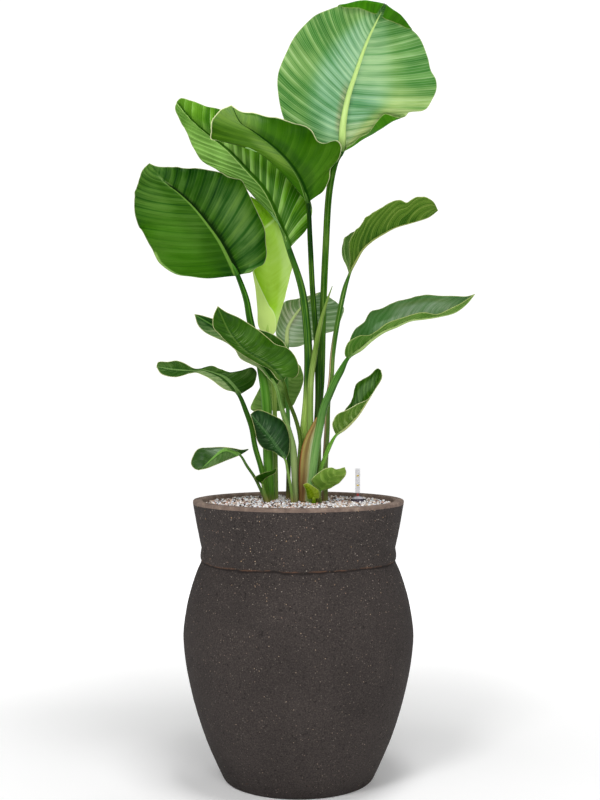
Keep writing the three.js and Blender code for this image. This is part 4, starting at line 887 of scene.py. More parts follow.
def blade_material(name, look, upper):
    """A leaf's face: pleats and streaks that follow its side veins, with painted light across each pleat,
    painted shade in their valleys and painted highlights on their crests; washes of colour, some of them
    painted light, shade or sheen; painted light and shade on the flanks of the midrib's channel; painted
    glints; and a thin pale margin."""
    deep, mid, light = look["upper" if upper else "under"]
    seen = upper != (look["slot"] == "leaf_underside")
    n = Nodes(name, Roughness=0.42, IOR=1.4, Specular_IOR_Level=0.05, Coat_Roughness=0.28,
              Coat_Weight=look["gloss"] * 0.3 if upper else 0.0)
    run, across, phase = n.split(n.value("blade"))
    margin, from_rib, _ = n.split(n.value("reach"))
    away = n.math("ABSOLUTE", across)
    sign = n.math("SIGN", across)
    side = n.math("ADD", sign, look["seed"] + (0 if upper else UNDER_SEED))
    # each pleat's ridge, broad streaks and hair lines along it, and painted light that grows across each
    # pleat up to its ridge
    ridge = n.zigzag(phase)
    streak = n.noise(n.join(n.times(phase, 0.9), away, side), 1.0, 2.0)
    hair = n.noise(n.join(n.times(phase, 7.0), n.times(away, 1.6), side), 1.0, 3.0, 0.6)
    patch = n.noise(n.place(), 9.0, 2.0)
    rise = n.math("FRACT", n.times(phase, sign))
    pleat_shading = n.scaled(n.math("POWER", rise, 4.0), 0.7, n.times(rise, 0.3))
    pleat_shading = n.times(pleat_shading, n.range(streak, 0.3, 0.6, 0.5, 1.2))
    lines = stripe_strength(n, look, seen, run, across)
    stripes = -0.03 - look["noisy"] - 0.3 * look["saw_shading"]
    for part, weight in [(ridge, 0.06), (streak, look["noisy"]), (hair, look["noisy"]), (pleat_shading, look["saw_shading"])]:
        stripes = n.scaled(part, weight, stripes)
    tone = n.scaled(stripes, lines, n.scaled(patch, 0.46, 0.27))
    colour = mid
    if seen or look["both"]:
        for row in look["washes"]:
            colour = n.wash(colour, run, across, n.range(hair, 0.35, 0.6, 0.7, 1.0), row)
    # the tones, as shares of the middle one so that they also darken and lighten the washes; the stripes
    # they follow carry both the veins and the painted light across the pleats
    darker = [max(low / max(middle, 0.004), 0.12) for low, middle in zip(linear(deep), linear(mid))]
    lighter = [min(high / max(middle, 0.02), 2.3) for high, middle in zip(linear(light), linear(mid))]
    colour = n.mix(n.fade(tone, 0.38, 0.52, 0.9), colour, darker, "MULTIPLY")
    colour = n.mix(n.range(tone, 0.49, 0.62, 0.0, 0.4), colour, lighter, "MULTIPLY")
    colour = n.mix(n.range(tone, 0.49, 0.64, 0.0, 0.35), colour, light)
    strong = n.times(n.range(streak, 0.35, 0.6, 0.25, 1.0), lines)
    # painted shade in the valleys of the pleats
    colour = n.mix(n.times(n.fade(ridge, 0.04, 0.30, look["valley_shade"]), strong), colour, darker, "MULTIPLY")
    # painted highlight on the crests of the pleats
    colour = n.mix(n.times(n.range(ridge, 0.89, 0.99, 0.0, look["crest_highlight"]), strong), colour, light)
    veins = n.zigzag(n.times(phase, VEINS_PER_PLEAT))
    colour = n.mix(n.times(n.range(veins, 0.7, 1.0, 0.0, look["fine"]), lines), colour, light)
    if "seam" in look:
        colour = n.seam(colour, run, across, *look["seam"])
    if upper and "flank" in look:
        colour = channel_flanks(n, look, colour, run, across, from_rib)
    # painted glints: pale streaks that stand in for glossy highlights
    if "painted_glint" in look:
        tint, amount = look["painted_glint"]
        shine = n.times(n.range(hair, 0.50, 0.72), n.range(patch, 0.44, 0.62, 0.0, amount),
                        n.range(away, 0.1, 0.7, 1.0, 0.1))
        colour = n.mix(shine, colour, tint)
    colour = n.mix(n.fade(margin, 0.4, look["edge_width"], look["edge_strength"]), colour, look["margin"])
    n.bump(n.scaled(veins, 0.25, hair), 0.0008, 0.7)
    smoothest, roughest = (0.34, 0.48) if upper else (0.5, 0.62)
    return n.done(colour, n.range(patch, 0.3, 0.7, smoothest, roughest))


def stalk_material(name, look):
    """A stalk: fine lengthwise streaks, the painted shade of a groove with a painted highlight on the ledge
    beside it, and its own colours towards the granules."""
    n = Nodes(name, Roughness=0.38, Specular_IOR_Level=0.06, Coat_Weight=0.02, Coat_Roughness=0.3)
    height, angle, _ = n.split(n.value("stem"))
    streak = n.noise(n.join(n.times(angle, 9.0), n.times(height, 0.006), look["seed"]), 1.0, 3.0)
    patch = n.noise(n.place(), 14.0, 2.0)
    deep, mid, light = look["stalk"]
    tone = n.scaled(patch, 0.5, n.scaled(streak, 0.9, -0.2))
    colour = n.ramp(tone, (0.38, deep), (0.52, mid), (0.70, light))
    # painted shade along the groove and a painted highlight on the ledge beside it
    colour = n.mix(n.fade(n.off(angle, GROOVE_SHADE_ANGLE), 0.02, 0.06, 0.6), colour, deep)
    colour = n.mix(n.fade(n.off(angle, LEDGE_HIGHLIGHT_ANGLE), 0.01, 0.05, 0.5), colour, light)
    foot = n.mix(n.range(streak, 0.35, 0.65), look["foot"], look["foot_dark"])
    colour = n.mix(n.times(n.fade(height, *look["foot_reach"]), look["foot_strength"]), colour, foot)
    if "strip" in look:
        first, last, low, high, tint = look["strip"]
        band = n.times(n.range(angle, first - 0.03, first + 0.03), n.fade(angle, last - 0.03, last + 0.03),
                       n.range(height, low - 20, low + 20), n.fade(height, high - 60, high + 20, 0.9))
        colour = n.mix(band, colour, n.mix(n.range(streak, 0.4, 0.6), tint, DRY_LIGHT))
    base = n.times(n.fade(height, 1.0, 26.0, 0.75), n.range(patch, 0.3, 0.6, 0.4, 1.0))
    colour = n.mix(base, colour, look["base"])
    n.bump(streak, 0.0006, 0.6)
    return n.done(colour)


def midrib_material(name, look):
    """The midrib under the blade: the stalk's green at its base, paler along its length."""
    n = Nodes(name, Roughness=0.42, Specular_IOR_Level=0.12)
    height, angle, run = n.split(n.value("stem"))
    streak = n.noise(n.join(n.times(angle, 12.0), n.times(height, 0.02), look["seed"]), 1.0, 2.0)
    deep, mid, light = look["stalk"]
    green = n.ramp(streak, (0.3, deep), (0.55, mid), (0.75, light))
    pale = n.mix(streak, look["rib"], look.get("rib_light", look["rib"]))
    return n.done(n.mix(n.range(run, 0.0, 0.12, 0.15, 1.0), green, pale))


# ---------------------------------------------------------------- leaves

EDGE_THICKNESS = 0.5
BLADE_THICKNESS = 0.85
# How much closer the rows lie towards a blade's base and the columns towards its midrib.
ROW_POWER = 1.35
COLUMN_POWER = 1.35
SWELL_HEIGHT = 1.2
PLEAT_SPARES = 9
PLEAT_SHIFT = 0.27
PLEAT_HEIGHTS = (0.35, 1.0)
FOLD_COUNTS = (11, 18.5, 2.6)
PHASE_START = 16
RIB_SIDES = 20
SPEAR_SIDES = 24
SPEAR_RINGS = 90
STALK_STEP = 6
# The midrib's radius at its root in stalk radii, and the shares of its course where it sinks and ends.
RIB_SHARE = 0.8
SINK_REACH = 0.12
RIB_END_REACH = 0.06
# Over how many rows a rolled margin is evened to each side, and where it starts to turn round the tip.
ROLL_EVENING = 5
ROLL_TIP_START = 0.955


def between(pairs, places):
    """Values read off a list of (place, value) pairs, straight between them."""
    at, values = zip(*pairs)
    return np.interp(places, at, values)


def margin_path(rib, outline, slope):
    """A blade's margin in space, as the CAD source has it."""
    start, end = rib.at(0), rib.at(1)
    corners = np.array([(start[0], start[2]), *outline, (end[0], end[2])], float)
    lengths = chain_lengths(corners)
    near = rib.at((lengths / lengths[-1]) ** VEIN_SWEEP)
    depth = near[:, 1] + slope * np.hypot(corners[:, 0] - near[:, 0], corners[:, 1] - near[:, 2])
    return Path(np.stack([corners[:, 0], depth, corners[:, 1]], -1))


def pleat_rows(count):
    """Uneven places and heights of a half blade's pleats, with spares past both ends."""
    order = np.arange(-float(PLEAT_SPARES), count + PLEAT_SPARES + 1)
    shifts = draw.uniform(-PLEAT_SHIFT, PLEAT_SHIFT, len(order))
    return order, order + shifts, draw.uniform(*PLEAT_HEIGHTS, len(order))


def sines(count, places, start):
    """A wave that goes up and down a number of times from place 0 to place 1."""
    return np.sin(2 * np.pi * count * places + start)


def pleats(q, s, width, count, height):
    """The lift of a half blade's pleats by q, the place along the midrib less the pleats' bend, and the
    running number of the pleat at each point."""
    order, places, heights = pleat_rows(count)
    phase = np.interp(q * count, places, order)
    ridge = np.abs((phase % 1) * 2 - 1) ** 1.3 - 0.43
    strength = height * smooth(0, 0.15, s) * (1 - 0.6 * smooth(0.75, 1, s))
    return ridge * strength * np.interp(phase, order, heights) * smooth(2, 30, width), phase


def swells(q, t, s, width, crimp):
    """The lift of a half blade's broad swells, and of the small folds along its margin."""
    roll = draw.uniform(0, 2 * np.pi, 6)
    swell = np.zeros_like(q)
    for m in range(3):
        swell += np.sin(2 * np.pi * (1.3 + m) * q + roll[m] + 2.2 * (m + 1) * s) / (m + 1)
    swell *= SWELL_HEIGHT * smooth(0, 0.3, s) * smooth(5, 60, width)
    coarse, fine, uneven = (sines(count, t, start) for count, start in zip(FOLD_COUNTS, roll[3:]))
    folds = (coarse + 0.7 * fine) * (0.6 + 0.4 * uneven) * np.sin(np.pi * t) ** 0.5
    return swell + crimp * smooth(0.82, 1, s) * folds * smooth(5, 40, width)


def half_blade(leaf, rib, k, t, s, look):
    """One half of a blade as a grid of points, rows by t along the midrib and columns by s outwards."""
    sign = (-1, 1)[k]
    margin = margin_path(rib, leaf[SIDES[k]], leaf["slope"][k])
    middle = rib.at(t**VEIN_SWEEP)
    out = margin.at(t ** leaf["lead"][k]) - middle
    width = np.linalg.norm(out, axis=1)[:, None]
    up = unit(np.cross(out, rib.along(t**VEIN_SWEEP)) * sign)
    up = np.where(width > 1, up, 0)
    t = t[:, None]
    fixed = smooth(0, 0.02, t) * smooth(0, 0.02, 1 - t)
    height, count = leaf["wave"]
    bow = leaf["arch"][k] * width * 2 * s * (1 - s)
    wave = height * s**2 * (sines(count, t, sign) * np.sin(np.pi * t))
    q = t - look["bend"][k] * s**2
    pleat, phase = pleats(q, s, width, look["pleats"][k], look["pleat"])
    swell = swells(q, t, s, width, look["crimp"])
    channel = look["channel"] * (1 - 0.6 * t) * smooth(0, 9, s * width) * (1 - s)
    lift = (bow + wave + pleat + swell + channel) * fixed
    grid = middle[:, None] + out[:, None] * s[None, :, None] + up[:, None] * lift[..., None]
    return grid, up, width, phase + PHASE_START


def evened(rows, reach=ROLL_EVENING):
    """Directions along a margin with their small turns averaged out."""
    padded = np.concatenate([rows[:1].repeat(reach, 0), rows, rows[-1:].repeat(reach, 0)])
    return unit(sum(padded[k:k + len(rows)] for k in range(2 * reach + 1)))


def square_to(rows, axes):
    """Directions with their share along the axes taken out."""
    return rows - axes * np.sum(rows * axes, axis=1, keepdims=True)


def rolled_margin(grid, up, tip, widths):
    """More columns beyond a half blade's margin, turned round under it, and round the tip."""
    edge, inner = grid[:, -1], grid[:, -4]
    along = evened(np.gradient(edge, axis=0))
    out = evened(square_to(edge - inner, along))
    lift = evened(np.where(np.abs(up).sum(axis=1, keepdims=True) > 0, up, up[len(up) // 2]))
    turn = smooth(ROLL_TIP_START, 1.0, np.linspace(0, 1, len(edge)))[:, None]
    out = unit(out * (1 - turn) + tip[0] * turn)
    lift = unit(square_to(unit(lift * (1 - turn) + tip[1] * turn), out))
    columns = []
    for m in range(1, ROLL_STEPS + 1):
        length = widths * m / ROLL_STEPS
        angle = np.minimum(length / ROLL_RADIUS, ROLL_TURN)
        rest = length - angle * ROLL_RADIUS
        columns.append(edge + out * (ROLL_RADIUS * np.sin(angle) + rest * np.cos(angle))[:, None]
                       - lift * (ROLL_RADIUS * (1 - np.cos(angle)) + rest * np.sin(angle))[:, None])
    return np.stack(columns, 1)


def blade_sheet(leaf, look):
    """The blade's fine grid from left margin over the midrib to right margin, with its values."""
    rib = Path(leaf["rib"])
    rows, columns = look["grid"]
    t = np.linspace(0, 1, rows + 1) ** min(ROW_POWER, 1 / min(leaf["lead"]))
    s = np.linspace(0, 1, columns + 1) ** COLUMN_POWER
    halves = []
    for k in (0, 1):
        grid, up, width, phase = half_blade(leaf, rib, k, t, s, look)
        from_rib = s * width
        if "roll" in leaf:
            widths = between(leaf["roll"][SIDES[k]], t ** leaf["lead"][k])
            steps = np.arange(1, ROLL_STEPS + 1) / ROLL_STEPS
            grid = np.concatenate([grid, rolled_margin(grid, up, (rib.along(1.0), up[-8]), widths)], axis=1)
            from_rib = np.concatenate([from_rib, width + widths[:, None] * steps], axis=1)
            phase = np.concatenate([phase, phase[:, -1:].repeat(ROLL_STEPS, 1)], axis=1)
        share = np.minimum(from_rib / np.maximum(width, 1), 1.0)
        halves.append((grid, (-1, 1)[k] * share, phase, from_rib[:, -1:] - from_rib, from_rib))
    grid, across, phase, to_edge, from_rib = (
        np.concatenate([left[:, :0:-1], right], axis=1) for left, right in zip(*halves))
    along = np.broadcast_to(t[:, None], across.shape)
    return grid, {"blade": np.stack([along, across, phase], -1),
                  "reach": np.stack([to_edge, from_rib, 0 * along], -1)}


def rod(centres, radii, sides):
    """A closed rod along points, with each point's height above the granules and its angle."""
    along = unit(np.gradient(centres, axis=0))
    across = np.array([1.0, 0, 0])
    rings = []
    angles = np.linspace(0, 2 * np.pi, sides, endpoint=False)
    for centre, radius, axis in zip(centres, radii, along):
        across = across - axis * np.dot(across, axis)
        across = across / np.linalg.norm(across)
        ring = np.outer(np.cos(angles), across) + np.outer(np.sin(angles), np.cross(axis, across))
        rings.append(centre + ring * radius)
    points = np.vstack(rings + [centres[:1], centres[-1:]])
    count = len(centres) * sides
    faces = grid_faces(len(centres), sides, closed=True)
    for k in range(sides):
        faces.append((count, (k + 1) % sides, k))
        faces.append((count + 1, count - sides + k, count - sides + (k + 1) % sides))
    height = np.append(np.repeat(centres[:, 2] - SOIL_HEIGHT, sides), [0, centres[-1, 2] - SOIL_HEIGHT])
    angle = np.append(np.tile(np.abs(angles / np.pi - 1), len(centres)), [0, 0])
    return points, faces, np.stack([height, angle, 0 * angle], -1)


def stalk_rows(leaf):
    """The stalk's course from the root ball up, as rows of [x, y, z, radius]."""
    x, y, _, foot = leaf["stalk"][0]
    return np.array([(x, y, STALK_START, foot), (x, y, STALK_FREE, foot), *leaf["stalk"][1:]], float)


def spear(name, leaf, look):
    """A leaf that is still rolled up tight."""
    centres = Path(stalk_rows(leaf)).at(np.linspace(0, 1, SPEAR_RINGS))
    points, faces, stem = rod(centres[:, :3], centres[:, 3], SPEAR_SIDES)
    make(name + "_spear", points, faces, [stalk_material(name + "_stalk", look)], values={"stem": stem},
         nodes=[name])


def blade(name, leaf, look):
    """The blade's piece, and the grid and values it was made from."""
    grid, values = blade_sheet(leaf, look)
    thickness = EDGE_THICKNESS + (BLADE_THICKNESS - EDGE_THICKNESS) * smooth(0, 20, values["reach"][..., 0])
    faces_of = [blade_material(name + "_upper", look, True), blade_material(name + "_under", look, False)]
    points, faces, slots, doubled = shell(grid, thickness, values, pointed=True)
    weld(make(name + "_blade", points, faces, faces_of, slots, doubled, nodes=[name]))
    return grid, values


def stalk_and_midrib(name, leaf, look, grid, from_rib):
    """The stalk's piece, which goes on as the midrib half sunk under the blade."""
    count = len(leaf["rib"])
    root = look.get("rib_root", leaf["stalk"][-1][3] * RIB_SHARE)
    ribs = [(*p, RIB_TIP_RADIUS + (root - RIB_TIP_RADIUS) * (1 - i / (count - 1)) ** RIB_TAPER)
            for i, p in enumerate(leaf["rib"])]
    course = Path(np.vstack([stalk_rows(leaf), ribs]))
    steps = int(course.length / STALK_STEP)
    centres = course.at(np.linspace(0, 1, steps))
    base = np.array(leaf["rib"][0], float)
    start = np.argmin(np.linalg.norm(centres[:, :3] - base, axis=1))
    share = np.clip((np.arange(steps) - start) / max(steps - 1 - start, 1), 0, 1)
    column = np.argmin(from_rib[len(grid) // 2])
    rows = np.clip((share ** (1 / VEIN_SWEEP) * (len(grid) - 1)).astype(int), 1, len(grid) - 2)
    up = grid_normals(grid)[rows, column]
    sink = centres[:, 3] * look["sink"] * smooth(0, SINK_REACH, share)
    places = centres[:, :3] - up * sink[:, None]
    kept = share <= look["rib_end"]
    radii = centres[kept, 3] * np.sqrt(np.clip((look["rib_end"] - share[kept]) / RIB_END_REACH, 0.1, 1))
    points, faces, stem = rod(places[kept], radii, RIB_SIDES)
    run = np.append(np.repeat(share[kept], RIB_SIDES), [0, 1])
    stem[:, 2] = run
    slots = [int(max(run[k] for k in face) > 0) for face in faces]
    materials = [stalk_material(name + "_stalk", look), midrib_material(name + "_midrib", look)]
    make(name + "_stalk", points, faces, materials, slots, {"stem": stem}, nodes=[name])


for leaf_name, leaf_row in LEAVES.items():
    leaf_look = {**PLAIN_LOOK, **LOOKS[leaf_name]}
    if "rib" in leaf_row:
        blade_grid, blade_values = blade(leaf_name, leaf_row, leaf_look)
        stalk_and_midrib(leaf_name, leaf_row, leaf_look, blade_grid, blade_values["reach"][..., 1])
    else:
        spear(leaf_name, leaf_row, leaf_look)

# ---------------------------------------------------------------- sheath

SHEATH_THICKNESS = 0.8
SHEATH_BULGE = 9.0
SHEATH_RIPPLE = 0.5
SHEATH_RIPPLES = 34
SHEATH_GRID = (60, 22)
SHEATH_ROOT_STEPS = 400


def sheath_material():
    """A papery sheath: green beside the stalk, then grey green, tan and brown to a dark free edge."""
    n = Nodes("wing_sheath", Roughness=0.5, Specular_IOR_Level=0.2)
    across, height, _ = n.split(n.value("sheath"))
    streak = n.noise(n.join(n.times(across, 9.0), n.times(height, 0.7), 3.0), 1.0, 3.0)
    place = n.scaled(n.math("SUBTRACT", streak, 0.5), 0.45, across)
    colour = n.ramp(place, (0.1, 0x6c9440), (0.28, 0x9cac80), (0.45, 0x8c8450), (0.62, 0x70582c),
                    (0.8, 0x94884a), (0.93, 0x8c5c2c), (0.98, 0x54241c))
    low = n.times(n.fade(height, 0.3, 1.4, 0.8), n.range(across, 0.25, 0.7))
    colour = n.mix(low, colour, n.mix(n.range(streak, 0.4, 0.6), 0x4c2810, 0x70502c))
    n.bump(streak, 0.0006, 0.6)
    return n.done(colour)


def wing_sheath():
    """The broad papery sheath that stands out from the long right leaf's stalk."""
    leaf = LEAVES["leaf_long_right"]
    u, v = (np.linspace(0, 1, count) for count in SHEATH_GRID)
    edge = Path(leaf["sheath"]).at(u)
    stalk = Path(stalk_rows(leaf)[:, :3]).at(np.linspace(0, 1, SHEATH_ROOT_STEPS))
    root = np.stack([np.interp(edge[:, 2], stalk[:, 2], stalk[:, c]) for c in range(3)], -1)
    grid = root[:, None] + (edge - root)[:, None] * v[None, :, None]
    grid[..., 1] -= SHEATH_BULGE * np.sin(np.pi * v ** 0.8) * (1 - 0.8 * u[:, None])
    grid[..., 1] += SHEATH_RIPPLE * np.sin(v * SHEATH_RIPPLES) * smooth(0, 0.3, v)
    across, height = np.meshgrid(v, u * 3)
    values = np.stack([across, height, 0 * across], -1)
    points, faces, _, doubled = shell(grid[:, ::-1], SHEATH_THICKNESS, {"sheath": values[:, ::-1]})
    make("leaf_long_right_sheath", points, faces, [sheath_material()],
         None, doubled, nodes=["leaf_long_right"])


wing_sheath()

# ---------------------------------------------------------------- planter

PLANTER_SIDES = 288
SIDE_ROWS = 110
NECK_ROWS = 26
# Sizes and heights of the wall's lumps, and how far the wall is set back so that they don't stand out.
WALL_LUMPS = [(9.0, 0.22), (3.4, 0.13), (55.0, 0.3)]
WALL_INSET = 0.35
GROOVE_WIDTH = 5.0
GROOVE_WEAR = 1.1
GROOVE_WEAR_SIZE = 14.0
# The seam's wandering and its lowest height, and how far below it its shade lies, in metres.
SEAM_WANDER = (0.016, 0.4165)
SEAM_SHADE = 0.0022
# Specks as cells per metre, size, the share of cells without one, and colour.
SPECKS = [
    (330.0, 0.30, 0.82, 0x766c62), (270.0, 0.30, 0.90, 0xaca094), (230.0, 0.24, 0.95, 0xe4dcd0),
    (230.0, 0.26, 0.955, 0xb08858), (270.0, 0.24, 0.95, 0x8a5a3c), (380.0, 0.30, 0.86, 0x1b1816),
]


def planter_material():
    """Dark rough composite with fine light, tan and rust specks, and a wandering seam under its neck."""
    n = Nodes("planter_rough", Roughness=0.93, Specular_IOR_Level=0.25)
    place = n.place()
    grain = n.noise(place, 420.0, 3.0, 0.7)
    tone = n.math("ADD", n.times(n.noise(place, 9.0, 4.0, 0.6), 0.2), n.times(grain, 0.8))
    colour = n.ramp(tone, (0.3, 0x24201e), (0.5, 0x3a3432), (0.7, 0x504844))
    pits = n.range(n.noise(place, 150.0, 2.0, 0.6), 0.62, 0.70)
    # dark pits: painted shade in the small pits that the bump dents
    colour = n.mix(n.times(pits, 0.55), colour, 0x1a1614)
    height = n.split(place)[2]
    amount = n.range(height, 0.30, 0.45, 0.3, 0.95)
    for scale, size, reach, tint in SPECKS:
        pick = n.split(n.cells(place, scale, "Color"))[0]
        speck = n.times(n.fade(n.cells(place, scale), size * 0.6, size),
                        n.range(pick, reach, reach + 0.02), amount)
        colour = n.mix(speck, colour, tint)
    # the seam, with its shade below it
    above = n.math("SUBTRACT", height, n.scaled(n.noise(place, 16.0, 4.0, 0.6), *SEAM_WANDER))
    shade = n.math("ABSOLUTE", n.math("ADD", above, SEAM_SHADE))
    colour = n.mix(n.fade(shade, 0.0008, 0.0034, 0.75), colour, 0x1c1715)
    seam = n.times(n.fade(n.math("ABSOLUTE", above), 0.0005, 0.0018),
                   n.range(n.noise(place, 38.0, 3.0), 0.4, 0.6))
    colour = n.mix(n.times(seam, 0.75), colour, 0x604434)
    # rust near the floor
    low = n.times(n.fade(height, 0.01, 0.05), n.range(n.noise(place, 24.0, 4.0), 0.68, 0.74))
    colour = n.mix(n.times(low, 0.6), colour, 0x7c4f34)
    lumps = n.noise(place, 120.0, 4.0, 0.65)
    n.bump(n.scaled(pits, -0.35, n.math("ADD", n.times(grain, 0.4), n.times(lumps, 0.6))), 0.003)
    return n.done(colour)


def rim_material():
    """A lighter colour for the top of the neck, the lip and the inside."""
    n = Nodes("planter_rim", Roughness=0.9)
    place = n.place()
    colour = n.ramp(n.noise(place, 60.0, 4.0, 0.65), (0.3, 0x56463e), (0.52, 0x766459), (0.72, 0x948274))
    n.bump(n.noise(place, 260.0, 3.0), 0.0009, 0.8)
    return n.done(colour)


def roughened(point):
    """A point of the planter's wall, moved along its radius by the lumps and the groove's wear."""
    x, y, z = point
    outward = np.array([x, y, 0]) / math.hypot(x, y)
    lumps = sum(noise.noise(Vector(point / size)) * height for size, height in WALL_LUMPS)
    groove = math.exp(-((z - GROOVE_HEIGHT) / GROOVE_WIDTH) ** 2)
    wear = groove * GROOVE_WEAR * noise.noise(Vector((x / GROOVE_WEAR_SIZE, y / GROOVE_WEAR_SIZE, 3.0)))
    return point + outward * (lumps + wear - WALL_INSET)


def planter():
    """The jar, turned from the floor up its outside, over the lip and down its inside."""
    side = Path(PLANTER_SIDE).at(np.linspace(0, 1, SIDE_ROWS))
    neck = Path(PLANTER_NECK).at(np.linspace(0, 1, NECK_ROWS))[1:]
    outside = np.vstack([PLANTER_FOOT, side, PLANTER_BEAD, neck])
    profile = np.vstack([outside, PLANTER_LIP, PLANTER_INSIDE[::-1]])
    points, faces = turned(profile, PLANTER_SIDES)
    skin = len(outside)
    rough_end = skin + len(PLANTER_LIP) + 1
    for k in range((len(PLANTER_FOOT) - 1) * PLANTER_SIDES, rough_end * PLANTER_SIDES):
        points[k] = roughened(points[k])
    slots = []
    for i, (_, height) in enumerate(profile[:-1]):
        slots += [0 if height < RIM_START and i < skin else 1] * PLANTER_SIDES
    weld(make("planter_jar", points, faces, [planter_material(), rim_material()], slots,
              nodes=["planter"]))


planter()

# ---------------------------------------------------------------- granules

# Colours of the grains with their shares; the last colour takes what is left.
GRAIN_COLOURS = [
    (0.24, 0xf6f4f5), (0.13, 0xdde4ee), (0.14, 0xd6c3b0), (0.09, 0xc69c8a), (0.12, 0x6c5a54),
    (0.10, 0x9c8878), (0.10, 0xffffff), (0.08, 0x453c3a),
]
GRAIN_STEP = 4.4
GRAIN_SHIFT = 1.1
GRAIN_ROW = 0.866
GRAIN_ROWS_MORE = 1.16
GRAIN_GAP = 1.4
# The share of places with a grain in each layer, and how much higher the second layer lies.
LAYER_SHARES = (1.0, 0.22)
LAYER_HEIGHT = 2.2
# How far the grains sink beside the wall, and over what width.
WALL_DIP = 1.5
WALL_DIP_WIDTH = 12
GRAIN_SIZES = (1.7, 2.9)
GRAIN_STRETCH = (0.7, 1.25)
GRAIN_BUMPS = (0.75, 1.15)
GRAIN_CORNERS = 12
FILL_CELLS = 210.0


def grain_material():
    """Grains of several colours, each a little mottled."""
    n = Nodes("granule_grain", Roughness=0.7)
    tone = n.split(n.value("grain"))[0]
    stops = []
    at = 0.0
    for share, colour in GRAIN_COLOURS:
        stops.append((at, colour))
        at += share
    mottle = n.noise(n.place(), 500.0, 3.0)
    colour = n.ramp(tone, *stops, interpolation="CONSTANT")
    n.bump(mottle, 0.0004, 0.6)
    return n.done(n.mix(n.range(mottle, 0.3, 0.7, 0.0, 0.35), colour, 0x9a8f88, "MULTIPLY"))


def grain_form():
    """Corners and faces of a body with 20 triangles, for one grain."""
    golden = (1 + 5**0.5) / 2
    corners = [(a, b * golden, 0) for a in (-1, 1) for b in (-1, 1)]
    corners += [(0, a, b * golden) for a in (-1, 1) for b in (-1, 1)]
    corners += [(b * golden, 0, a) for a in (-1, 1) for b in (-1, 1)]
    corners = unit(np.array(corners, float))
    faces = []
    for a, b, c in itertools.combinations(range(GRAIN_CORNERS), 3):
        p, q, r = corners[[a, b, c]]
        if max(np.linalg.norm(p - q), np.linalg.norm(q - r), np.linalg.norm(p - r)) < 1.2:
            inward = np.dot(np.cross(q - p, r - p), p) < 0
            faces.append((a, c, b) if inward else (a, b, c))
    return corners, faces


def grain_places():
    """Places of the loose grains in two layers, clear of the stalks and the gauge."""
    holes = [(*row["stalk"][0][:2], row["stalk"][0][3] + 1.2) for row in LEAVES.values()]
    holes.append((*GAUGE_CENTRE, COLLAR_RADIUS + 0.8))
    places = []
    reach = MOUTH_RADIUS - 1.5
    steps = int(2 * reach / GRAIN_STEP) + 2
    for layer, keep in enumerate(LAYER_SHARES):
        for i, j in itertools.product(range(steps), range(int(steps * GRAIN_ROWS_MORE))):
            x = -reach + (i + 0.5 * (j % 2)) * GRAIN_STEP + draw.uniform(-GRAIN_SHIFT, GRAIN_SHIFT)
            y = -reach + j * GRAIN_STEP * GRAIN_ROW + draw.uniform(-GRAIN_SHIFT, GRAIN_SHIFT)
            chance = draw.random()
            far = math.hypot(x, y)
            if far > reach or chance > keep:
                continue
            if any(math.hypot(x - a, y - b) < r + GRAIN_GAP for a, b, r in holes):
                continue
            beside = math.hypot(x - GAUGE_CENTRE[0], y - GAUGE_CENTRE[1]) < COLLAR_RADIUS + 9
            if beside and layer:
                continue
            edge = WALL_DIP * max(0.0, (far - reach + WALL_DIP_WIDTH) / WALL_DIP_WIDTH) ** 2
            z = SOIL_HEIGHT + 0.7 - 1.2 * beside + LAYER_HEIGHT * layer + draw.uniform(-1.0, 1.0) - edge
            places.append((x, y, z + 1.2 * noise.noise(Vector((x / 30, y / 30, 0)))))
    return places


def granules():
    """Loose grains over the whole top, each of its own size, form and tone."""
    corners, grain_faces = grain_form()
    points, faces, tones = [], [], []
    for k, place in enumerate(grain_places()):
        size = draw.uniform(*GRAIN_SIZES)
        stretch = draw.uniform(*GRAIN_STRETCH, 3)
        turn = np.linalg.qr(draw.normal(size=(3, 3)))[0]
        if np.linalg.det(turn) < 0:
            turn[:, 0] *= -1
        bumps = draw.uniform(*GRAIN_BUMPS, (GRAIN_CORNERS, 1))
        points.append((corners * bumps * stretch) @ turn.T * size + place)
        faces += [tuple(q + GRAIN_CORNERS * k for q in face) for face in grain_faces]
        tones.append(np.tile([draw.random(), 0, 0], (GRAIN_CORNERS, 1)))
    obj = make("granules_top", np.vstack(points), faces, [grain_material()], None,
               {"grain": np.vstack(tones)})
    obj.data.polygons.foreach_set("use_smooth", np.zeros(len(obj.data.polygons), bool))


def fill_material():
    """The granules in bulk: cells of the grains' size in the grains' colours."""
    n = Nodes("granule_fill", Roughness=0.85)
    place = n.place()
    pick = n.split(n.cells(place, FILL_CELLS, "Color"))[0]
    colour = n.ramp(pick, (0.1, 0x6e625e), (0.35, 0xa89a90), (0.6, 0xcbbcae), (0.9, 0xe6e3e3))
    n.bump(n.cells(place, FILL_CELLS), 0.0015, 0.8)
    return n.done(colour)


def root_material():
    """Brown fibres of the root ball."""
    n = Nodes("root_fibres", Roughness=0.95)
    fibre = n.noise(n.place(), 120.0, 5.0, 0.7)
    n.bump(fibre, 0.003, 0.9)
    return n.done(n.ramp(fibre, (0.3, 0x3f2f20), (0.5, 0x6b4f35), (0.7, 0xb09a78)))


def repaint(node, material):
    """A new material on a CAD node that stays as it is."""
    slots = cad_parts[node].data.materials
    slots.clear()
    slots.append(material)


granules()
repaint("granule_fill", fill_material())
repaint("root_ball", root_material())

# ---------------------------------------------------------------- water gauge

GAUGE_SIDES = 72
FLOAT_SIDES = 48
FIT = 0.3
LIP_HEIGHT = 2
CAP_HEIGHT = 2.5
MARK_OFFSET = 0.15
MARK_THICKNESS = 0.25


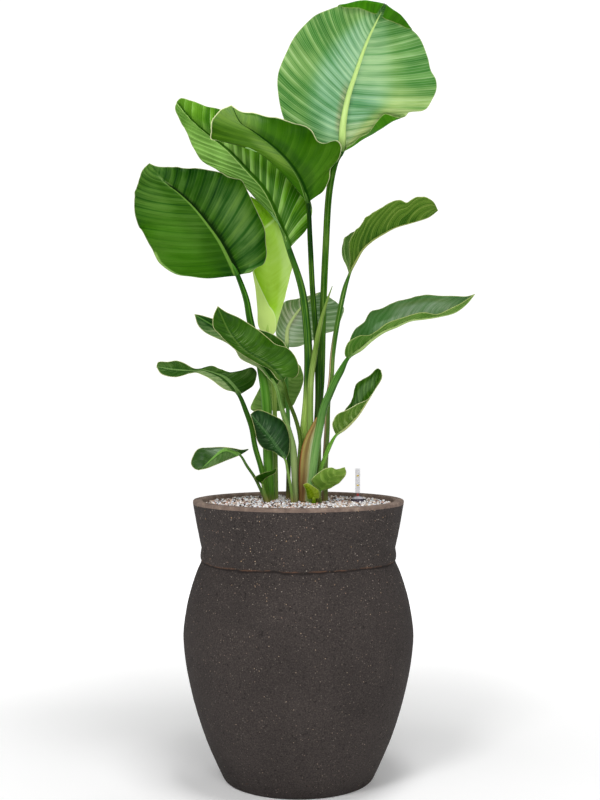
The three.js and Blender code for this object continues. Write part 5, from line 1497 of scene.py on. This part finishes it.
def plain(name, colour, light, rough, scale=80.0):
    """A plain material between two colours, a little rougher where it is lighter."""
    n = Nodes(name)
    tone = n.noise(n.place(), scale, 3.0)
    value = n.range(tone, 0.35, 0.65, rough * 0.85, rough * 1.15)
    return n.done(n.mix(n.range(tone, 0.35, 0.65), colour, light), value)


def clear_material():
    """The sight tube: a dark foot, a mottled cone whose near-white flecks are painted highlights, and above
    it milky plastic that is seen through.
    """
    n = Nodes("gauge_clear", Roughness=0.35, IOR=1.2, Specular_IOR_Level=0.1)
    height = n.split(n.place())[2]
    milk = n.mix(n.noise(n.place(), 60.0), 0xb4b2b8, 0xc4c2c8)
    # the cone's near-white flecks are painted highlights
    cone = n.mix(n.noise(n.place(), 150.0), 0xa8a4b0, 0xe8e6ee)
    foot = n.mix(n.range(height, 0.5372, 0.5378), 0x3a323e, cone)
    solid = n.range(height, 0.5405, 0.5437, 0.8, 0.03)
    n.put(n.shader.inputs["Alpha"], n.math("ADD", solid, n.range(height, 0.5485, 0.5500, 0.0, 0.17)))
    return n.done(n.mix(n.range(height, 0.5425, 0.5455), foot, milk))


def gauge_piece(name, profile, sides, material, node, body=BODY, corner=0.6):
    """One turned piece of the gauge with rounded corners."""
    points, faces = turned(rounded(profile, corner), sides, GAUGE_CENTRE)
    weld(make(name, points, faces, [material], body=body, nodes=[node]))


def gauge():
    """The pipe with its collar, the sight tube with its cone and marks, and the float with rod and tip."""
    collar = SOIL_HEIGHT + SOIL_RELIEF + FIT
    lip = PIPE_FOOT + LIP_HEIGHT
    pipe = [(PIPE_LIP, PIPE_FOOT), (PIPE_RADIUS, PIPE_FOOT), (PIPE_RADIUS, collar), (COLLAR_RADIUS, collar),
            (COLLAR_RADIUS, COLLAR_TOP), (PIPE_BORE, COLLAR_TOP), (PIPE_BORE, lip), (PIPE_LIP, lip),
            (PIPE_LIP, PIPE_FOOT)]
    dark = plain("gauge_dark", 0x3c3540, 0x544c58, 0.42)
    gauge_piece("gauge_pipe_body", pipe, GAUGE_SIDES, dark, "gauge_pipe")
    foot = COLLAR_TOP + FIT
    cap = SIGHT_TOP - CAP_HEIGHT
    tube = [(0, cap), (SIGHT_BORE, cap), (SIGHT_BORE, CONE_TOP - 1), (PIPE_BORE, foot),
            (COLLAR_RADIUS - 1, foot), (COLLAR_RADIUS - 2, foot + 2), (SIGHT_RADIUS + 1, CONE_TOP - 1.5),
            (SIGHT_RADIUS, CONE_TOP), (SIGHT_RADIUS, SIGHT_TOP), (0, SIGHT_TOP)]
    gauge_piece("gauge_sight", tube, GAUGE_SIDES, clear_material(), "gauge_sight_tube")
    base = lip + FIT
    top = base + FLOAT_HEIGHT
    rod_top = TIP_BOTTOM - FIT
    body = [(0, base), (FLOAT_RADIUS, base), (FLOAT_RADIUS, top), (ROD_RADIUS, top), (ROD_RADIUS, rod_top),
            (0, rod_top)]
    white = plain("gauge_foam", 0xe9e6df, 0xf7f5f0, 0.6, 300.0)
    gauge_piece("gauge_float_body", body, FLOAT_SIDES, white, "gauge_float", FLOAT_BODY, 1.4)
    tip_top = TIP_BOTTOM + TIP_HEIGHT
    tip = [(0, TIP_BOTTOM), (TIP_RADIUS, TIP_BOTTOM), (TIP_RADIUS, tip_top), (0, tip_top)]
    red = plain("gauge_red", 0xb01004, 0xd02c0c, 0.5)
    gauge_piece("gauge_red_tip", tip, FLOAT_SIDES, red, "gauge_float_tip", FLOAT_BODY, 1.2)
    yellow = plain("gauge_yellow", 0xe0c040, 0xf0d060, 0.5)
    turns = np.radians(np.linspace(-90 - MARK_TURN, -90 + MARK_TURN, 13))
    x = GAUGE_CENTRE[0] + (SIGHT_RADIUS + MARK_OFFSET) * np.cos(turns)
    y = GAUGE_CENTRE[1] + (SIGHT_RADIUS + MARK_OFFSET) * np.sin(turns)
    for number, height in enumerate(GAUGE_MARKS):
        rows = [[(a, b, z) for z in (height, height + MARK_HEIGHT)] for a, b in zip(x, y)]
        points, faces, _, _ = shell(np.array(rows), MARK_THICKNESS, {})
        make(f"gauge_mark_{number}", points, faces, [yellow])


gauge()

# ---------------------------------------------------------------- stage, light and camera


def floor():
    """A white floor that glows more with distance, so that it fades into the backdrop."""
    n = Nodes("floor_white", Roughness=0.95, Emission_Strength=1.0, Specular_IOR_Level=0.0)
    away = n.node("ShaderNodeVectorMath", {0: n.place()}, output="Value", operation="LENGTH")
    glow = n.range(away, *FLOOR_GLOW_REACH, *FLOOR_GLOW)
    n.put(n.shader.inputs["Emission Color"], n.join(glow, glow, glow))
    mesh = bpy.data.meshes.new("floor")
    corners = [(a * FLOOR_SIZE, b * FLOOR_SIZE, 0) for a, b in ((-1, -1), (1, -1), (1, 1), (-1, 1))]
    mesh.from_pydata(corners, [], [(0, 1, 2, 3)])
    mesh.materials.append(n.done(n.mix(n.noise(n.place(), 2.0), 0xf6f6f6, 0xfafafa)))
    obj = bpy.data.objects.new("floor", mesh)
    bpy.context.scene.collection.objects.link(obj)


def backdrop():
    """White where the camera looks past the plant, and a dimmer light from all round."""
    world = bpy.data.worlds.new("studio")
    world.use_nodes = True
    tree = world.node_tree
    seen = tree.nodes["Background"]
    light = tree.nodes.new("ShaderNodeBackground")
    which = tree.nodes.new("ShaderNodeLightPath")
    either = tree.nodes.new("ShaderNodeMixShader")
    dim = tree.nodes.new("ShaderNodeMapRange")
    seen.inputs["Color"].default_value = (1, 1, 1, 1)
    seen.inputs["Strength"].default_value = BACKDROP
    light.inputs["Color"].default_value = (1, 1, 1, 1)
    dim.inputs["To Min"].default_value = WORLD_LIGHT
    dim.inputs["To Max"].default_value = WORLD_GLOSS
    tree.links.new(which.outputs["Is Glossy Ray"], dim.inputs["Value"])
    tree.links.new(dim.outputs[0], light.inputs["Strength"])
    tree.links.new(which.outputs["Is Camera Ray"], either.inputs[0])
    tree.links.new(light.outputs[0], either.inputs[1])
    tree.links.new(seen.outputs[0], either.inputs[2])
    tree.links.new(either.outputs[0], tree.nodes["World Output"].inputs[0])
    bpy.context.scene.world = world


def lamps():
    """Square soft lamps that face the plant."""
    for name, place, aim, power, size in LAMPS:
        data = bpy.data.lights.new(name, "AREA")
        data.energy = power
        data.size = size
        lamp = bpy.data.objects.new(name, data)
        lamp.location = place
        lamp.rotation_euler = (Vector(aim) - Vector(place)).to_track_quat("-Z", "Y").to_euler()
        bpy.context.scene.collection.objects.link(lamp)


def camera():
    """A level camera in front of the plant, with its picture shifted a little."""
    data = bpy.data.cameras.new("camera")
    data.lens = SENSOR_WIDTH * FOCAL_PIXELS / PICTURE_HEIGHT
    data.sensor_width = SENSOR_WIDTH
    data.sensor_fit = "AUTO"
    data.shift_x, data.shift_y = (pixels / PICTURE_HEIGHT for pixels in SHIFT_PIXELS)
    obj = bpy.data.objects.new("camera", data)
    obj.location = (0, -CAMERA_DISTANCE * MM, CAMERA_HEIGHT * MM)
    obj.rotation_euler = (math.pi / 2, 0, 0)
    bpy.context.scene.collection.objects.link(obj)
    bpy.context.scene.camera = obj
    bpy.context.scene.view_settings.view_transform = "Standard"
    bpy.context.scene.view_settings.look = "None"


floor()
backdrop()
lamps()
camera()
